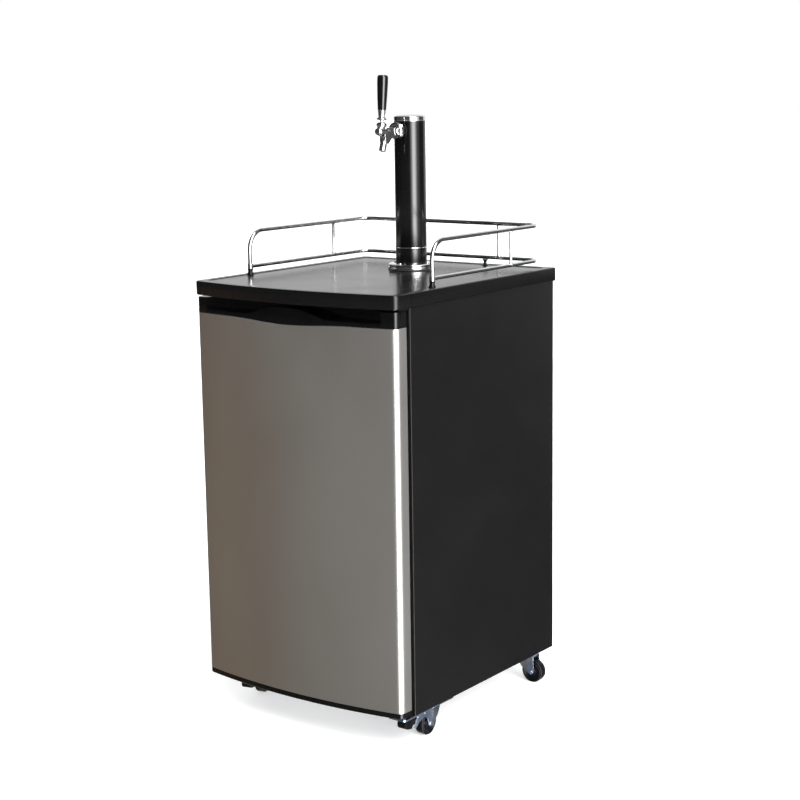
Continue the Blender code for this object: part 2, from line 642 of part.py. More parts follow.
def tower():
    frame = empty("tower_frame", (0, TOWER_Y, WORKTOP_TOP))
    gasket = turned("tower_gasket", ring(GAP, FLANGE_BOTTOM - GAP, LINE_HOLE_RADIUS, FLANGE_RADIUS + 0.0005),
                    FINE_STEPS, "black_rubber", parent=frame)
    flange = turned("tower_base_flange",
                    [(LINE_HOLE_RADIUS, FLANGE_BOTTOM), (FLANGE_RADIUS, FLANGE_BOTTOM),
                     (FLANGE_RADIUS, 0.0062), (FLANGE_RADIUS - 0.0008, 0.0068), (FLANGE_RADIUS - 0.0008, 0.0076),
                     (FLANGE_RADIUS, 0.0082), (FLANGE_RADIUS, 0.0110), (FLANGE_RADIUS - 0.0016, FLANGE_TOP),
                     (COLUMN_BORE - 0.0005, FLANGE_TOP), (COLUMN_BORE - 0.0005, 0.0300), (LINE_HOLE_RADIUS, 0.0300)],
                    FINE_STEPS, "chrome", parent=frame)
    for k, (x, y) in enumerate(flange_screws()):
        for target in (gasket, flange):
            cut(target, turned(f"{target.name}_hole_{k}", pin(SCREW_HOLE_RADIUS, -0.01, 0.02), BORE_STEPS,
                               centre=(x, y, 0), parent=frame, flat_down=True))
        turned(f"flange_screw_{k + 1}",
               [(0, FLANGE_TOP + 0.0012), (0.0012, FLANGE_TOP + 0.0012), (0.0016, FLANGE_TOP + 0.0030),
                (0.0030, FLANGE_TOP + 0.0026), (0.0042, FLANGE_TOP + 0.0012), (0.0044, FLANGE_TOP + GAP),
                (0.0022, FLANGE_TOP + GAP), (0.0022, -0.014), (0.0008, -0.017), (0, -0.017)],
               SMALL_STEPS, "chrome", centre=(x, y, 0), parent=frame)
    turned("tower_lower_sleeve", ring(FLANGE_TOP + GAP, STUB_TOP, COLUMN_BORE, COLUMN_RADIUS), FINE_STEPS,
           "tower_black", parent=frame)
    turned("tower_trim_ring", [(COLUMN_BORE - 0.0012, STUB_TOP + GAP), (COLUMN_RADIUS + 0.0002, STUB_TOP + GAP),
                               (COLUMN_RADIUS + 0.0007, STUB_TOP + 0.0018),
                               (COLUMN_RADIUS + 0.0002, COLUMN_BOTTOM - GAP), (COLUMN_BORE - 0.0012, COLUMN_BOTTOM - GAP)],
           FINE_STEPS, "chrome", parent=frame)
    column = turned("tower_column", ring(COLUMN_BOTTOM, COLUMN_TOP, COLUMN_BORE, COLUMN_RADIUS), FINE_STEPS,
                    "tower_black", parent=frame)
    cut(column, rod("column_shank_hole", SHANK_RADIUS + 0.0006, (0, -0.05, FAUCET_HEIGHT), (0, 0, FAUCET_HEIGHT),
                    MEDIUM_STEPS, parent=frame))
    rim, skirt = COLUMN_RADIUS + 0.0003, COLUMN_BORE - 0.0004
    turned("tower_cap", [(0, TOWER_TOP), (rim - 0.0120, TOWER_TOP - 0.0004), (rim - 0.0035, TOWER_TOP - 0.0022),
                         (rim - 0.0002, TOWER_TOP - 0.0046), (rim, COLUMN_TOP + GAP), (skirt, COLUMN_TOP + GAP),
                         (skirt, COLUMN_TOP - 0.008), (skirt - 0.0020, COLUMN_TOP - 0.008),
                         (skirt - 0.0020, TOWER_TOP - 0.009), (0, TOWER_TOP - 0.009)], FINE_STEPS, "chrome",
           parent=frame)
    faucet(empty("faucet_frame", (0, 0, FAUCET_HEIGHT), frame))


def hexagon(radius, centre=(0, 0)):
    return arc(centre, radius, 0, 300, 5)


def faucet(frame):
    shank = turned("shank", [(0.0030, -0.0478), (SHANK_RADIUS, -0.0478), (SHANK_RADIUS, -0.0150),
                             (0.0060, -0.0150), (0.0042, -0.0140), (0.0042, -0.0030), (0.0030, -0.0030)],
                   MEDIUM_STEPS, "chrome", "Y", parent=frame)
    collar = turned("shank_collar", ring(-0.0425, -0.0260, SHANK_RADIUS + 0.0004, 0.0128), FINE_STEPS,
                    "black_gloss_plastic", "Y", parent=frame)
    cut(collar, rod("collar_saddle", COLUMN_RADIUS + 0.0004, (0, 0, -0.03), (0, 0, 0.03), 48, parent=frame))
    nut = prism("shank_lock_nut", hexagon(0.0145), -0.0280, -0.0200, "zinc_steel", "Y", parent=frame)
    cut(nut, rod("lock_nut_bore", SHANK_RADIUS + 0.0004, (0, -0.03, 0), (0, -0.01, 0), MEDIUM_STEPS, parent=frame))
    coupling_nut(frame)
    faucet_body(frame)
    turned("faucet_front_plug", [(0, FRONT_Y - 0.0040), (0.0058, FRONT_Y - 0.0040), (0.0071, FRONT_Y - 0.0028),
                                 (0.0071, FRONT_Y - GAP), (0.0040, FRONT_Y - GAP), (0.0040, FRONT_Y + 0.0008),
                                 (0, FRONT_Y + 0.0008)], MEDIUM_STEPS, "chrome", "Y", parent=frame)
    turned("faucet_bonnet", [(0.0074, 0.0115), (0.0108, 0.0115), (0.0112, 0.0125), (0.0112, 0.0164),
                             (0.0080, 0.0190), (0.0064, 0.0190), (0.0064, 0.0168), (0.0074, 0.0140)],
           MEDIUM_STEPS, "chrome", centre=(0, PIVOT_Y, 0), parent=frame)
    lever_parts(empty("lever_pivot", (0, PIVOT_Y, PIVOT_Z), frame, (LEVER_LEAN, 0, 0)))
    plunger_parts(frame)
    drop = arc((0.0000, -0.016), 0.016, 90, 0, 6)
    route = [(0, -0.0135, 0), *[(0, y, z) for y, z in drop], (0, 0.016, -FAUCET_HEIGHT - 0.092)]
    hose = tube("beer_line", route, 0.0062, "clear_tubing", frame)
    start, end = Vector(route[0]), Vector(route[-1])
    bore = tube("beer_line_bore", [start - Vector((0, 0.01, 0)), *route[1:-1], end - Vector((0, 0, 0.01))], 0.0046,
                parent=frame)
    cut(hose, bore)
    return shank


def coupling_nut(frame):
    """The slotted ring that draws the faucet onto the shank."""
    nut = turned("coupling_nut", [(SHANK_RADIUS + 0.0004, -0.0428), (0.0172, -0.0428), (0.0180, -0.0440),
                                  (0.0180, -0.0526), (0.0156, -0.0552), (0.0098, -0.0552), (0.0098, -0.0512),
                                  (SHANK_RADIUS + 0.0004, -0.0512)], FINE_STEPS, "chrome", "Y", parent=frame)
    for k in range(4):
        angle = math.radians(45 + 90 * k)
        x, z = math.cos(angle), math.sin(angle)
        cut(nut, rod(f"coupling_slot_{k}", 0.0022, (0.0162 * x, -0.0485, 0.0162 * z), (0.022 * x, -0.0485, 0.022 * z), 8,
                     parent=frame))
    return nut


def faucet_body(frame):
    """The casting: tail, barrel, lever cup and spout, bored for the plunger and the beer."""
    body = turned("faucet_body", [(0, -0.0482), (0.0106, -0.0482), (0.0106, -0.0505), (0.0092, -0.0505),
                                  (0.0092, -0.0560), (0.0072, -0.0600), (0.0080, -0.0760), (0.0090, -0.0880),
                                  (0.0090, FRONT_Y + 0.0030), (0.0080, FRONT_Y), (0, FRONT_Y)],
                  BODY_STEPS, "chrome", "Y", parent=frame)
    cup = turned("body_cup", [(0, -0.0060), (0.0072, -0.0045), (0.0080, 0.0075), (0.0106, 0.0098),
                              (0.0106, 0.0112), (0, 0.0112)], BODY_STEPS, centre=(0, PIVOT_Y, 0), parent=frame)
    web = prism("body_web", [(-0.0570, -0.0058), (-0.0570, 0.0056), (-0.0890, 0.0070), (-0.0965, -0.0040),
                             (-0.0950, -0.0220), (-0.0835, -0.0240), (-0.0740, -0.0150)], -0.0050, 0.0050,
                axis="X", parent=frame)
    spout_top, spout_tip = Vector((0, -0.0840, 0.0010)), Vector((0, -0.0984, -0.0408))
    spout = rod("body_spout", 0.0075, spout_top, spout_tip, BODY_STEPS, parent=frame)
    join(body, cup, web, spout)
    along = (spout_tip - spout_top).normalized()
    outlet = rod("body_outlet", 0.0050, spout_top - along * 0.001, spout_tip + along * 0.01, BORE_STEPS,
                 parent=frame)
    bore = turned("body_bore", [(0, FRONT_Y - 0.002), (PLUNGER_BORE, FRONT_Y - 0.002), (PLUNGER_BORE, SEAT_Y),
                                (0.0064, SEAT_Y), (0.0064, -0.0470), (0, -0.0470)], BODY_STEPS, axis="Y",
                  parent=frame)
    ball_seat = turned("body_ball_seat", pin(BALL_RADIUS + 0.0006, 0.0062, 0.02), BORE_STEPS,
                       centre=(0, PIVOT_Y, 0), parent=frame, flat_down=True)
    arm_way = block("body_arm_way", (-0.0040, PIVOT_Y - 0.0056, 0.0003), (0.0040, PIVOT_Y + 0.0071, 0.0085),
                    parent=frame)
    join(ball_seat, arm_way)
    return cut(body, bore, ball_seat, outlet)


def lever_parts(pivot):
    """The lever and what is screwed to it, in a frame on the ball's centre."""
    ball = [(BALL_RADIUS * math.cos(a), BALL_RADIUS * math.sin(a))
            for a in (math.radians(d) for d in range(-70, 71, 20))]
    tip = [(TIP_RADIUS * math.cos(a), TIP_RADIUS * math.sin(a) - PIVOT_Z)
           for a in (math.radians(d) for d in range(-60, 61, 40))]
    lever = [(0, -PIVOT_Z - TIP_RADIUS), *tip, (0.0016, -0.0108), (0.0020, -0.0066), *ball, (0.0032, 0.0066),
             (0.0032, 0.0084), (0.0046, 0.0094), (0.0046, 0.0290), (0, 0.0290)]
    turned("faucet_lever", lever, MEDIUM_STEPS, "chrome", parent=pivot)
    turned("lever_collar", [(0.0050, 0.0098), (0.0057, 0.0086), (0.0098, 0.0104), (0.0101, 0.0126),
                            (0.0084, 0.0148), (0.0050, 0.0148)], MEDIUM_STEPS, "chrome", parent=pivot)
    turned("handle_ferrule", [(0.0050, 0.0151), (0.0068, 0.0151), (0.0070, 0.0165), (0.0083, 0.0285),
                              (0.0083, 0.0297), (0.0050, 0.0297)], MEDIUM_STEPS, "chrome", parent=pivot)
    turned("tap_handle", [(0, 0.0300), (0.0088, 0.0300), (0.0104, 0.0564), (0.0114, 0.0823), (0.0116, 0.0940),
                          (0.0112, 0.0990), (0.0098, 0.1016), (0, 0.1024)], MEDIUM_STEPS, "handle_black",
           parent=pivot)


def plunger_parts(frame):
    """The sliding shaft that the lever's tip moves, and the rubber seal on its rear end."""
    slot_y = PIVOT_Y + PIVOT_Z * math.sin(LEVER_LEAN)
    slide = empty("plunger_axis", (0, slot_y, 0), frame)
    plunger = turned("faucet_plunger", [(0, -0.0060), (0.0040, -0.0060), (PLUNGER_RADIUS, -0.0052),
                                        (PLUNGER_RADIUS, 0.0352), (0.0026, 0.0352), (0.0026, 0.0395),
                                        (0.0048, 0.0395), (0.0048, 0.0412), (0, 0.0420)], MEDIUM_STEPS,
                     "chrome", "Y", parent=slide)
    half = TIP_RADIUS + 0.0005
    flat = block("plunger_flat", (-0.01, -0.0078, 0.0014), (0.01, 0.0082, 0.01), parent=slide)
    slot = block("plunger_slot", (-half, -half, -0.0031), (half, half, 0.01), parent=slide)
    cut(plunger, flat, slot)
    turned("plunger_seal", [(0.0029, 0.0362), (0.0059, 0.0362), (0.0059, 0.0385), (0.0050, 0.0392), (0.0029, 0.0392)],
           MEDIUM_STEPS, "black_rubber", "Y", parent=slide)


# ---------------------------------------------------------------- casters

def caster(name, x, y, heading, braked):
    """A swivel caster. The heading turns its wheel, in degrees, from -Y."""
    plate = prism(f"caster_plate_{name}", rectangle((x - 0.029, y - 0.031), (x + 0.029, y + 0.031), 0.006, 2),
                  PLATE_BOTTOM, FLOOR_GAP - GAP, "zinc_steel")
    kingpin = turned(f"kingpin_{name}", [(0, FORK_TOP - 0.0064), (0.0078, FORK_TOP - 0.0064),
                                         (0.0078, FORK_TOP - 0.0044), (0.0050, FORK_TOP - 0.0034),
                                         (0.0050, PLATE_BOTTOM + 0.001), (0, PLATE_BOTTOM + 0.001)],
                     SMALL_STEPS, centre=(x, y, 0))
    join(plate, kingpin)
    swivel = empty(f"swivel_axis_{name}", (x, y, 0), None, (0, 0, math.radians(heading)))
    fork(name, swivel, braked)
    axle = empty(f"wheel_axis_{name}", (0, -TRAIL, WHEEL_RADIUS), swivel)
    wheel(name, axle)
    if braked:
        brake_pedal(name, empty(f"pedal_axis_{name}", (0, PEDAL_PIVOT_Y, PEDAL_PIVOT_Z), swivel))


def fork_cheek(braked):
    """The outline of a fork's cheek. A braked one reaches forward over the wheel and down to the pedal."""
    boss = arc((-TRAIL, WHEEL_RADIUS), 0.0068, -150, -10, 5)
    rear = [(0.0045, 0.0355), (0.0165, 0.0490), (0.0190, FORK_TOP - 0.0004)]
    if not braked:
        return [*boss, *rear, (-0.0200, FORK_TOP - 0.0004), (-0.0300, 0.0420)]
    arch = [(-0.0310, 0.0330), (-0.0350, 0.0400), (-0.0430, 0.0440), (-0.0520, 0.0430), (-0.0640, 0.0380)]
    front = [(-0.0480, FORK_TOP - 0.0004), (-0.0695, 0.0535), (-0.0780, 0.0310), (-0.0715, 0.0305)]
    return [*boss, *rear, *front, *reversed(arch)]


def fork(name, swivel, braked):
    outline = fork_cheek(braked)
    made = prism(f"caster_fork_{name}", outline, -FORK_OUTSIDE, -FORK_INSIDE, "zinc_steel", "X", swivel)
    other = prism(f"cheek_{name}", outline, FORK_INSIDE, FORK_OUTSIDE, axis="X", parent=swivel)
    crown_front = -0.047 if braked else -0.019
    crown = block(f"crown_{name}", (-FORK_OUTSIDE + 0.0002, crown_front, FORK_TOP - 0.0026),
                  (FORK_OUTSIDE - 0.0002, 0.0185, FORK_TOP - 0.0002), parent=swivel)
    race = turned(f"race_{name}", [(0, FORK_TOP - 0.0030), (0.0185, FORK_TOP - 0.0030),
                                   (0.0185, PLATE_BOTTOM - 0.0020), (0.0165, PLATE_BOTTOM - GAP),
                                   (0, PLATE_BOTTOM - GAP)], MEDIUM_STEPS, parent=swivel)
    kingpin_hole = rod(f"kingpin_hole_{name}", 0.0056, (0, 0, 0.05), (0, 0, 0.08), SMALL_STEPS, parent=swivel)
    end = FORK_OUTSIDE + 0.0010
    axle = rod(f"axle_{name}", AXLE_RADIUS, (-end, -TRAIL, WHEEL_RADIUS), (end, -TRAIL, WHEEL_RADIUS),
               SMALL_STEPS, parent=swivel)
    heads = [rod(f"axle_head_{name}_{side}", 0.0048, (side * (FORK_INSIDE + 0.0006), -TRAIL, WHEEL_RADIUS),
                 (side * (FORK_OUTSIDE + 0.0018), -TRAIL, WHEEL_RADIUS), SMALL_STEPS, parent=swivel)
             for side in (-1, 1)]
    join(made, other, crown, race)
    cut(made, kingpin_hole)
    join(made, axle, *heads)


def wheel(name, axle):
    """A solid wheel. Its radius is measured to the flat at its foot."""
    tread = WHEEL_RADIUS / math.cos(math.pi / WHEEL_STEPS)
    half = WHEEL_WIDTH / 2
    side = [(0.0034, half + 0.0010), (0.0075, half + 0.0010), (0.0085, half - 0.0026), (0.0170, half - 0.0026),
            (0.0190, half), (tread - 0.0022, half), (tread, half - 0.0026)]
    profile = side + [(radius, -along) for radius, along in reversed(side)]
    return turned(f"caster_wheel_{name}", profile, WHEEL_STEPS, "wheel_black", "X", parent=axle, flat_down=True)


def brake_pedal(name, pivot):
    """The foot lever: a shoe between the cheeks and a broad pad in front of them."""
    shoe = [(-0.0150, -0.0080), (0.0070, -0.0060), (0.0090, 0.0010), (0.0020, 0.0060), (-0.0150, 0.0040)]
    pad = rounded([(-0.0320, -0.0125, 0.004), (-0.0185, -0.0150, 0), (-0.0144, -0.0085, 0),
                   (-0.0144, 0.0070, 0.003), (-0.0290, 0.0060, 0.004)], 3)
    made = prism(f"brake_pedal_{name}", shoe, -0.0108, 0.0108, "wheel_black", "X", pivot)
    return join(made, prism(f"pedal_pad_{name}", pad, -0.0150, 0.0150, axis="X", parent=pivot))


def casters():
    caster("front_left", -FRONT_CASTER_X, FRONT_CASTER_Y, 15, True)
    caster("front_right", FRONT_CASTER_X, FRONT_CASTER_Y, 0, True)
    caster("rear_left", -REAR_CASTER_X, REAR_CASTER_Y, -90, False)
    caster("rear_right", REAR_CASTER_X, REAR_CASTER_Y, 90, False)


def main():
    clear_scene()
    cabinet()
    interior()
    worktop()
    door()
    hinges()
    guard_rail()
    tower()
    casters()
    weld_cut_pieces()


main()
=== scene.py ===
"""The looks of the kegerator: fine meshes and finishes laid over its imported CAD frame."""

import json
import math

import bmesh
import bpy
from mathutils import Matrix, Vector


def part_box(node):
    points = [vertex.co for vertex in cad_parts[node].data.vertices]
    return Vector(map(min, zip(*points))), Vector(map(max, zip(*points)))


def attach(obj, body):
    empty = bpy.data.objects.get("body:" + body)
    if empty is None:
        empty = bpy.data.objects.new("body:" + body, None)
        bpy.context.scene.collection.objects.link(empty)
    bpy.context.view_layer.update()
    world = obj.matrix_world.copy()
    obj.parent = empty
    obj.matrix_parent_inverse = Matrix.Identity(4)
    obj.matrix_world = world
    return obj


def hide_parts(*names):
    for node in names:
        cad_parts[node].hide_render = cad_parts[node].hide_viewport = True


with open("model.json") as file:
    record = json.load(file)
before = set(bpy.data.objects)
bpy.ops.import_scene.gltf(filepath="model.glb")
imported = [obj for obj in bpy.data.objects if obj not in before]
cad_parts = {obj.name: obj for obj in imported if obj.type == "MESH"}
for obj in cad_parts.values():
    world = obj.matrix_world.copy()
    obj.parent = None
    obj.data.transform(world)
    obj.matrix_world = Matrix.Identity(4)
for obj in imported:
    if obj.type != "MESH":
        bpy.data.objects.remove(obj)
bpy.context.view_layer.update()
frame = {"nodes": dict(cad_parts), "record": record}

GAP = 0.0003  # the air left between pieces that lie against each other


# ---- Materials

class Nodes:
    """A small helper that wires the nodes of one material or world."""

    def __init__(self, tree):
        self.tree = tree

    def add(self, kind, **settings):
        node = self.tree.nodes.new(kind)
        for name, value in settings.items():
            if hasattr(node, name):
                setattr(node, name, value)
            else:
                node.inputs[name.replace("_", " ")].default_value = value
        return node

    def link(self, source, target):
        self.tree.links.new(source, target)


def new_material(name, colour, roughness, metallic=0.0, **sockets):
    made = bpy.data.materials.new(name)
    made.use_nodes = True
    shader = made.node_tree.nodes["Principled BSDF"]
    shader.inputs["Base Color"].default_value = (*colour, 1)
    shader.inputs["Roughness"].default_value = roughness
    shader.inputs["Metallic"].default_value = metallic
    for socket, value in sockets.items():
        shader.inputs[socket.replace("_", " ")].default_value = value
    return made, Nodes(made.node_tree), shader


def stretched_noise(nodes, scale, detail=4.0, stretch=(1, 1, 1), distortion=0.0):
    """Noise in the object's own metres, stretched along its axes."""
    where = nodes.add("ShaderNodeTexCoord")
    mapping = nodes.add("ShaderNodeMapping")
    mapping.inputs["Scale"].default_value = stretch
    noise = nodes.add("ShaderNodeTexNoise")
    noise.inputs["Scale"].default_value = scale
    noise.inputs["Detail"].default_value = detail
    noise.inputs["Distortion"].default_value = distortion
    nodes.link(where.outputs["Object"], mapping.inputs["Vector"])
    nodes.link(mapping.outputs["Vector"], noise.inputs["Vector"])
    return noise.outputs["Fac"]


def spread(nodes, source, low, high, start=0.3, end=0.7):
    """Maps a noise to a range of values."""
    mapped = nodes.add("ShaderNodeMapRange")
    for socket, value in (("From Min", start), ("From Max", end), ("To Min", low), ("To Max", high)):
        mapped.inputs[socket].default_value = value
    nodes.link(source, mapped.inputs["Value"])
    return mapped.outputs["Result"]


def two_tone(nodes, source, first, second):
    """A colour that drifts between two."""
    drift = nodes.add("ShaderNodeValToRGB")
    for element, position, colour in zip(drift.color_ramp.elements, (0.35, 0.65), (first, second)):
        element.position = position
        element.color = (*colour, 1)
    nodes.link(source, drift.inputs["Fac"])
    return drift.outputs["Color"]


def bumped(nodes, shader, source, strength, distance):
    """Puts a noise in relief."""
    bump = nodes.add("ShaderNodeBump")
    bump.inputs["Strength"].default_value = strength
    bump.inputs["Distance"].default_value = distance
    nodes.link(source, bump.inputs["Height"])
    nodes.link(bump.outputs["Normal"], shader.inputs["Normal"])


def worn(nodes, shader, clouds, roughness, fine, ripple):
    """A roughness that drifts with the clouds and ripples with the fine grain."""
    wear = nodes.add("ShaderNodeMath", operation="ADD")
    nodes.link(spread(nodes, clouds, *roughness), wear.inputs[0])
    nodes.link(spread(nodes, fine, -ripple, ripple), wear.inputs[1])
    nodes.link(wear.outputs["Value"], shader.inputs["Roughness"])


def plain_finish(slot, first, second, roughness, cloud, grain, bump, metallic=0.0, depth=0.0002,
                 stretch=(1, 1, 1), **sockets):
    """A finish whose colour and roughness drift in broad clouds, with a fine grain in relief."""
    made, nodes, shader = new_material(f"{slot}_look", first, sum(roughness) / 2, metallic, **sockets)
    clouds = stretched_noise(nodes, cloud, 5.0, distortion=0.4)
    nodes.link(two_tone(nodes, clouds, first, second), shader.inputs["Base Color"])
    fine = stretched_noise(nodes, grain, 3.0, stretch)
    worn(nodes, shader, clouds, roughness, fine, 0.02)
    bumped(nodes, shader, fine, bump, depth)
    return made


def brushed():
    """Stainless sheet brushed up and down, which spreads its reflections sideways."""
    dull, bright = (0.585, 0.575, 0.555), (0.625, 0.618, 0.60)
    made, nodes, shader = new_material("brushed_stainless_look", dull, 0.32, 1.0, Anisotropic=0.8)
    clouds = stretched_noise(nodes, 4, 4.0, (1, 1, 0.5), 0.3)
    nodes.link(two_tone(nodes, clouds, dull, bright), shader.inputs["Base Color"])
    hairs = stretched_noise(nodes, 260, 3.0, (9, 9, 0.05))
    worn(nodes, shader, clouds, (0.30, 0.34), hairs, 0.03)
    round_axis = nodes.add("ShaderNodeTangent", direction_type="RADIAL", axis="Z")
    nodes.link(round_axis.outputs["Tangent"], shader.inputs["Tangent"])
    bumped(nodes, shader, hairs, 0.03, 0.00005)
    return made


def galvanised():
    """Zinc that froze in angular spangles."""
    made, nodes, shader = new_material("galvanised_steel_look", (0.5, 0.51, 0.52), 0.45, 1.0)
    where = nodes.add("ShaderNodeTexCoord")
    cells = nodes.add("ShaderNodeTexVoronoi", feature="F1")
    cells.inputs["Scale"].default_value = 140
    nodes.link(where.outputs["Object"], cells.inputs["Vector"])
    nodes.link(two_tone(nodes, cells.outputs["Color"], (0.40, 0.41, 0.43), (0.62, 0.63, 0.65)),
               shader.inputs["Base Color"])
    nodes.link(spread(nodes, cells.outputs["Color"], 0.32, 0.55, 0, 1), shader.inputs["Roughness"])
    bumped(nodes, shader, stretched_noise(nodes, 500), 0.1, 0.0001)
    return made


# Two colours, a range of roughness, then the clouds and grain for each metre, and the grain's relief.
PLAIN_FINISHES = {
    "black_gloss_plastic": dict(
        first=(0.0010, 0.0010, 0.0012), second=(0.0016, 0.0016, 0.0018), roughness=(0.12, 0.17),
        cloud=30, grain=240, bump=0.05, depth=0.00015, Specular_IOR_Level=0.28),
    "black_painted_steel": dict(
        first=(0.0030, 0.0028, 0.0031), second=(0.0042, 0.0040, 0.0044), roughness=(0.32, 0.38),
        cloud=6, grain=650, bump=0.06, Specular_IOR_Level=0.24),
    "black_worktop": dict(
        first=(0.0020, 0.0020, 0.0021), second=(0.0030, 0.0030, 0.0031), roughness=(0.20, 0.235),
        cloud=6, grain=1500, bump=0.08, Specular_IOR_Level=0.26),
    "chrome": dict(
        first=(0.62, 0.62, 0.63), second=(0.68, 0.68, 0.69), roughness=(0.035, 0.08), metallic=1.0,
        cloud=45, grain=160, bump=0.025, depth=0.0001),
    "zinc_steel": dict(
        first=(0.32, 0.44, 0.66), second=(0.66, 0.71, 0.80), roughness=(0.20, 0.30), metallic=1.0,
        cloud=38, grain=500, bump=0.05, stretch=(1, 1, 4)),
    "tower_black": dict(
        first=(0.0012, 0.0012, 0.0014), second=(0.0020, 0.0020, 0.0023), roughness=(0.16, 0.20),
        cloud=12, grain=420, bump=0.05, depth=0.00015),
    "handle_black": dict(
        first=(0.0015, 0.0015, 0.0018), second=(0.0025, 0.0025, 0.0030), roughness=(0.08, 0.13),
        cloud=40, grain=300, bump=0.03, depth=0.0001),
    "black_rubber": dict(
        first=(0.014, 0.014, 0.014), second=(0.022, 0.022, 0.022), roughness=(0.60, 0.78),
        cloud=50, grain=1400, bump=0.3, depth=0.0003),
    "wheel_black": dict(
        first=(0.0018, 0.0020, 0.0032), second=(0.0030, 0.0034, 0.0052), roughness=(0.24, 0.34),
        cloud=80, grain=900, bump=0.10, Specular_IOR_Level=0.22),
    "white_liner": dict(
        first=(0.78, 0.79, 0.79), second=(0.84, 0.85, 0.85), roughness=(0.34, 0.46),
        cloud=7, grain=700, bump=0.12, Subsurface_Weight=0.05),
    "aluminium": dict(
        first=(0.66, 0.67, 0.68), second=(0.76, 0.77, 0.78), roughness=(0.36, 0.52), metallic=1.0,
        cloud=20, grain=300, bump=0.10, stretch=(0.1, 6, 6)),
    "clear_tubing": dict(
        first=(0.74, 0.77, 0.72), second=(0.82, 0.84, 0.80), roughness=(0.16, 0.28),
        cloud=60, grain=400, bump=0.05, depth=0.0001, Transmission_Weight=0.55, IOR=1.42),
}

finishes = {slot: plain_finish(slot, **look) for slot, look in PLAIN_FINISHES.items()}
finishes["brushed_stainless"] = brushed()
finishes["galvanised_steel"] = galvanised()


# ---- Mesh tools

def span(node):
    """A CAD node's lowest and highest corner."""
    low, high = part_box(node)
    return Vector(low), Vector(high)


def rounded(corners, steps=6, closed=True):
    """A line of (u, v, radius) corners with its corners rounded."""
    outline = []
    for k, (u, v, radius) in enumerate(corners):
        here = Vector((u, v))
        if not radius or (not closed and k in (0, len(corners) - 1)):
            outline.append((u, v))
            continue
        before = (Vector(corners[k - 1][:2]) - here).normalized()
        after = (Vector(corners[(k + 1) % len(corners)][:2]) - here).normalized()
        half = before.angle(after) / 2
        centre = here + (before + after).normalized() * radius / math.sin(half)
        start = here + before * radius / math.tan(half) - centre
        sweep = here + after * radius / math.tan(half) - centre
        angle = start.angle_signed(sweep)
        for s in range(steps + 1):
            outline.append(tuple(centre + Matrix.Rotation(-angle * s / steps, 2) @ start))
    return outline


def arc(centre, radius, first, last, steps):
    angles = [math.radians(first + (last - first) * k / steps) for k in range(steps + 1)]
    return [(centre[0] + radius * math.cos(a), centre[1] + radius * math.sin(a)) for a in angles]


def stitch(bm, first, second):
    """Joins two rings of as many points with a band of faces."""
    for k in range(len(first)):
        n = (k + 1) % len(first)
        bm.faces.new((first[k], first[n], second[n], second[k]))


def loft(bm, rings):
    """Skins rings that have the same number of points, and closes both ends."""
    rows = [[bm.verts.new(point) for point in ring] for ring in rings]
    for first, second in zip(rows, rows[1:]):
        stitch(bm, first, second)
    bm.faces.new(reversed(rows[0]))
    bm.faces.new(rows[-1])


def shift(x, y, z=0.0):
    return Matrix.Translation((x, y, z))


def spin(degrees, axis="Z"):
    return Matrix.Rotation(math.radians(degrees), 4, axis)


def aim(direction):
    """Turns the Z axis to a direction."""
    return direction.to_track_quat("Z", "Y").to_matrix().to_4x4()


AXES = {
    "Z": Matrix.Identity(4),
    "Y": spin(-90, "X"),
    "X": spin(90, "Y"),
}


def lathe(bm, profile, steps, turn, axis="Z"):
    """Turns a profile of (radius, height) points; it is closed into a ring unless it meets the axis."""
    turn = turn @ AXES[axis]
    on_axis = profile[0][0] < 1e-6 and profile[-1][0] < 1e-6
    rows = []
    for radius, height in profile:
        if radius < 1e-6:
            rows.append([bm.verts.new(turn @ Vector((0, 0, height)))])
            continue
        ring = []
        for k in range(steps):
            a = math.tau * k / steps
            ring.append(bm.verts.new(turn @ Vector((radius * math.cos(a), radius * math.sin(a), height))))
        rows.append(ring)
    pairs = list(zip(rows, rows[1:]))
    if not on_axis:
        pairs.append((rows[-1], rows[0]))
    for first, second in pairs:
        if len(first) == len(second) == steps:
            stitch(bm, first, second)
            continue
        for k in range(steps):
            n = (k + 1) % steps
            if len(first) == steps:
                bm.faces.new((first[k], first[n], second[0]))
            elif len(second) == steps:
                bm.faces.new((first[0], second[n], second[k]))


def prism(bm, outline, low, high, turn=None, axis="Z"):
    """An outline in X and Y extruded along Z, or one in Y and Z extruded along X."""
    turn = turn or Matrix.Identity(4)
    rings = [[Vector((w, u, v) if axis == "X" else (u, v, w)) for u, v in outline] for w in (low, high)]
    loft(bm, [[turn @ point for point in ring] for ring in rings])


TUBE_SIDES = 24


def sweep(bm, path, radius):
    """A round tube along a path, kept from twisting."""
    points = [Vector(p) for p in path]
    rings = []
    side = None
    for k, point in enumerate(points):
        ahead = points[min(k + 1, len(points) - 1)] - points[max(k - 1, 0)]
        ahead.normalize()
        if side is None:
            side = ahead.orthogonal().normalized()
        side = (side - ahead * side.dot(ahead)).normalized()
        up = ahead.cross(side)
        rings.append([point + (side * math.cos(a) + up * math.sin(a)) * radius
                      for a in (math.tau * s / TUBE_SIDES for s in range(TUBE_SIDES))])
    loft(bm, rings)


def placed(name, data):
    """Puts a new object in the scene."""
    made = bpy.data.objects.new(name, data)
    bpy.context.scene.collection.objects.link(made)
    return made


def mesh_object(name, bm):
    """Puts a mesh in the scene, with its faces turned outwards."""
    bmesh.ops.recalc_face_normals(bm, faces=bm.faces)
    mesh = bpy.data.meshes.new(name)
    bm.to_mesh(mesh)
    bm.free()
    return placed(name, mesh)


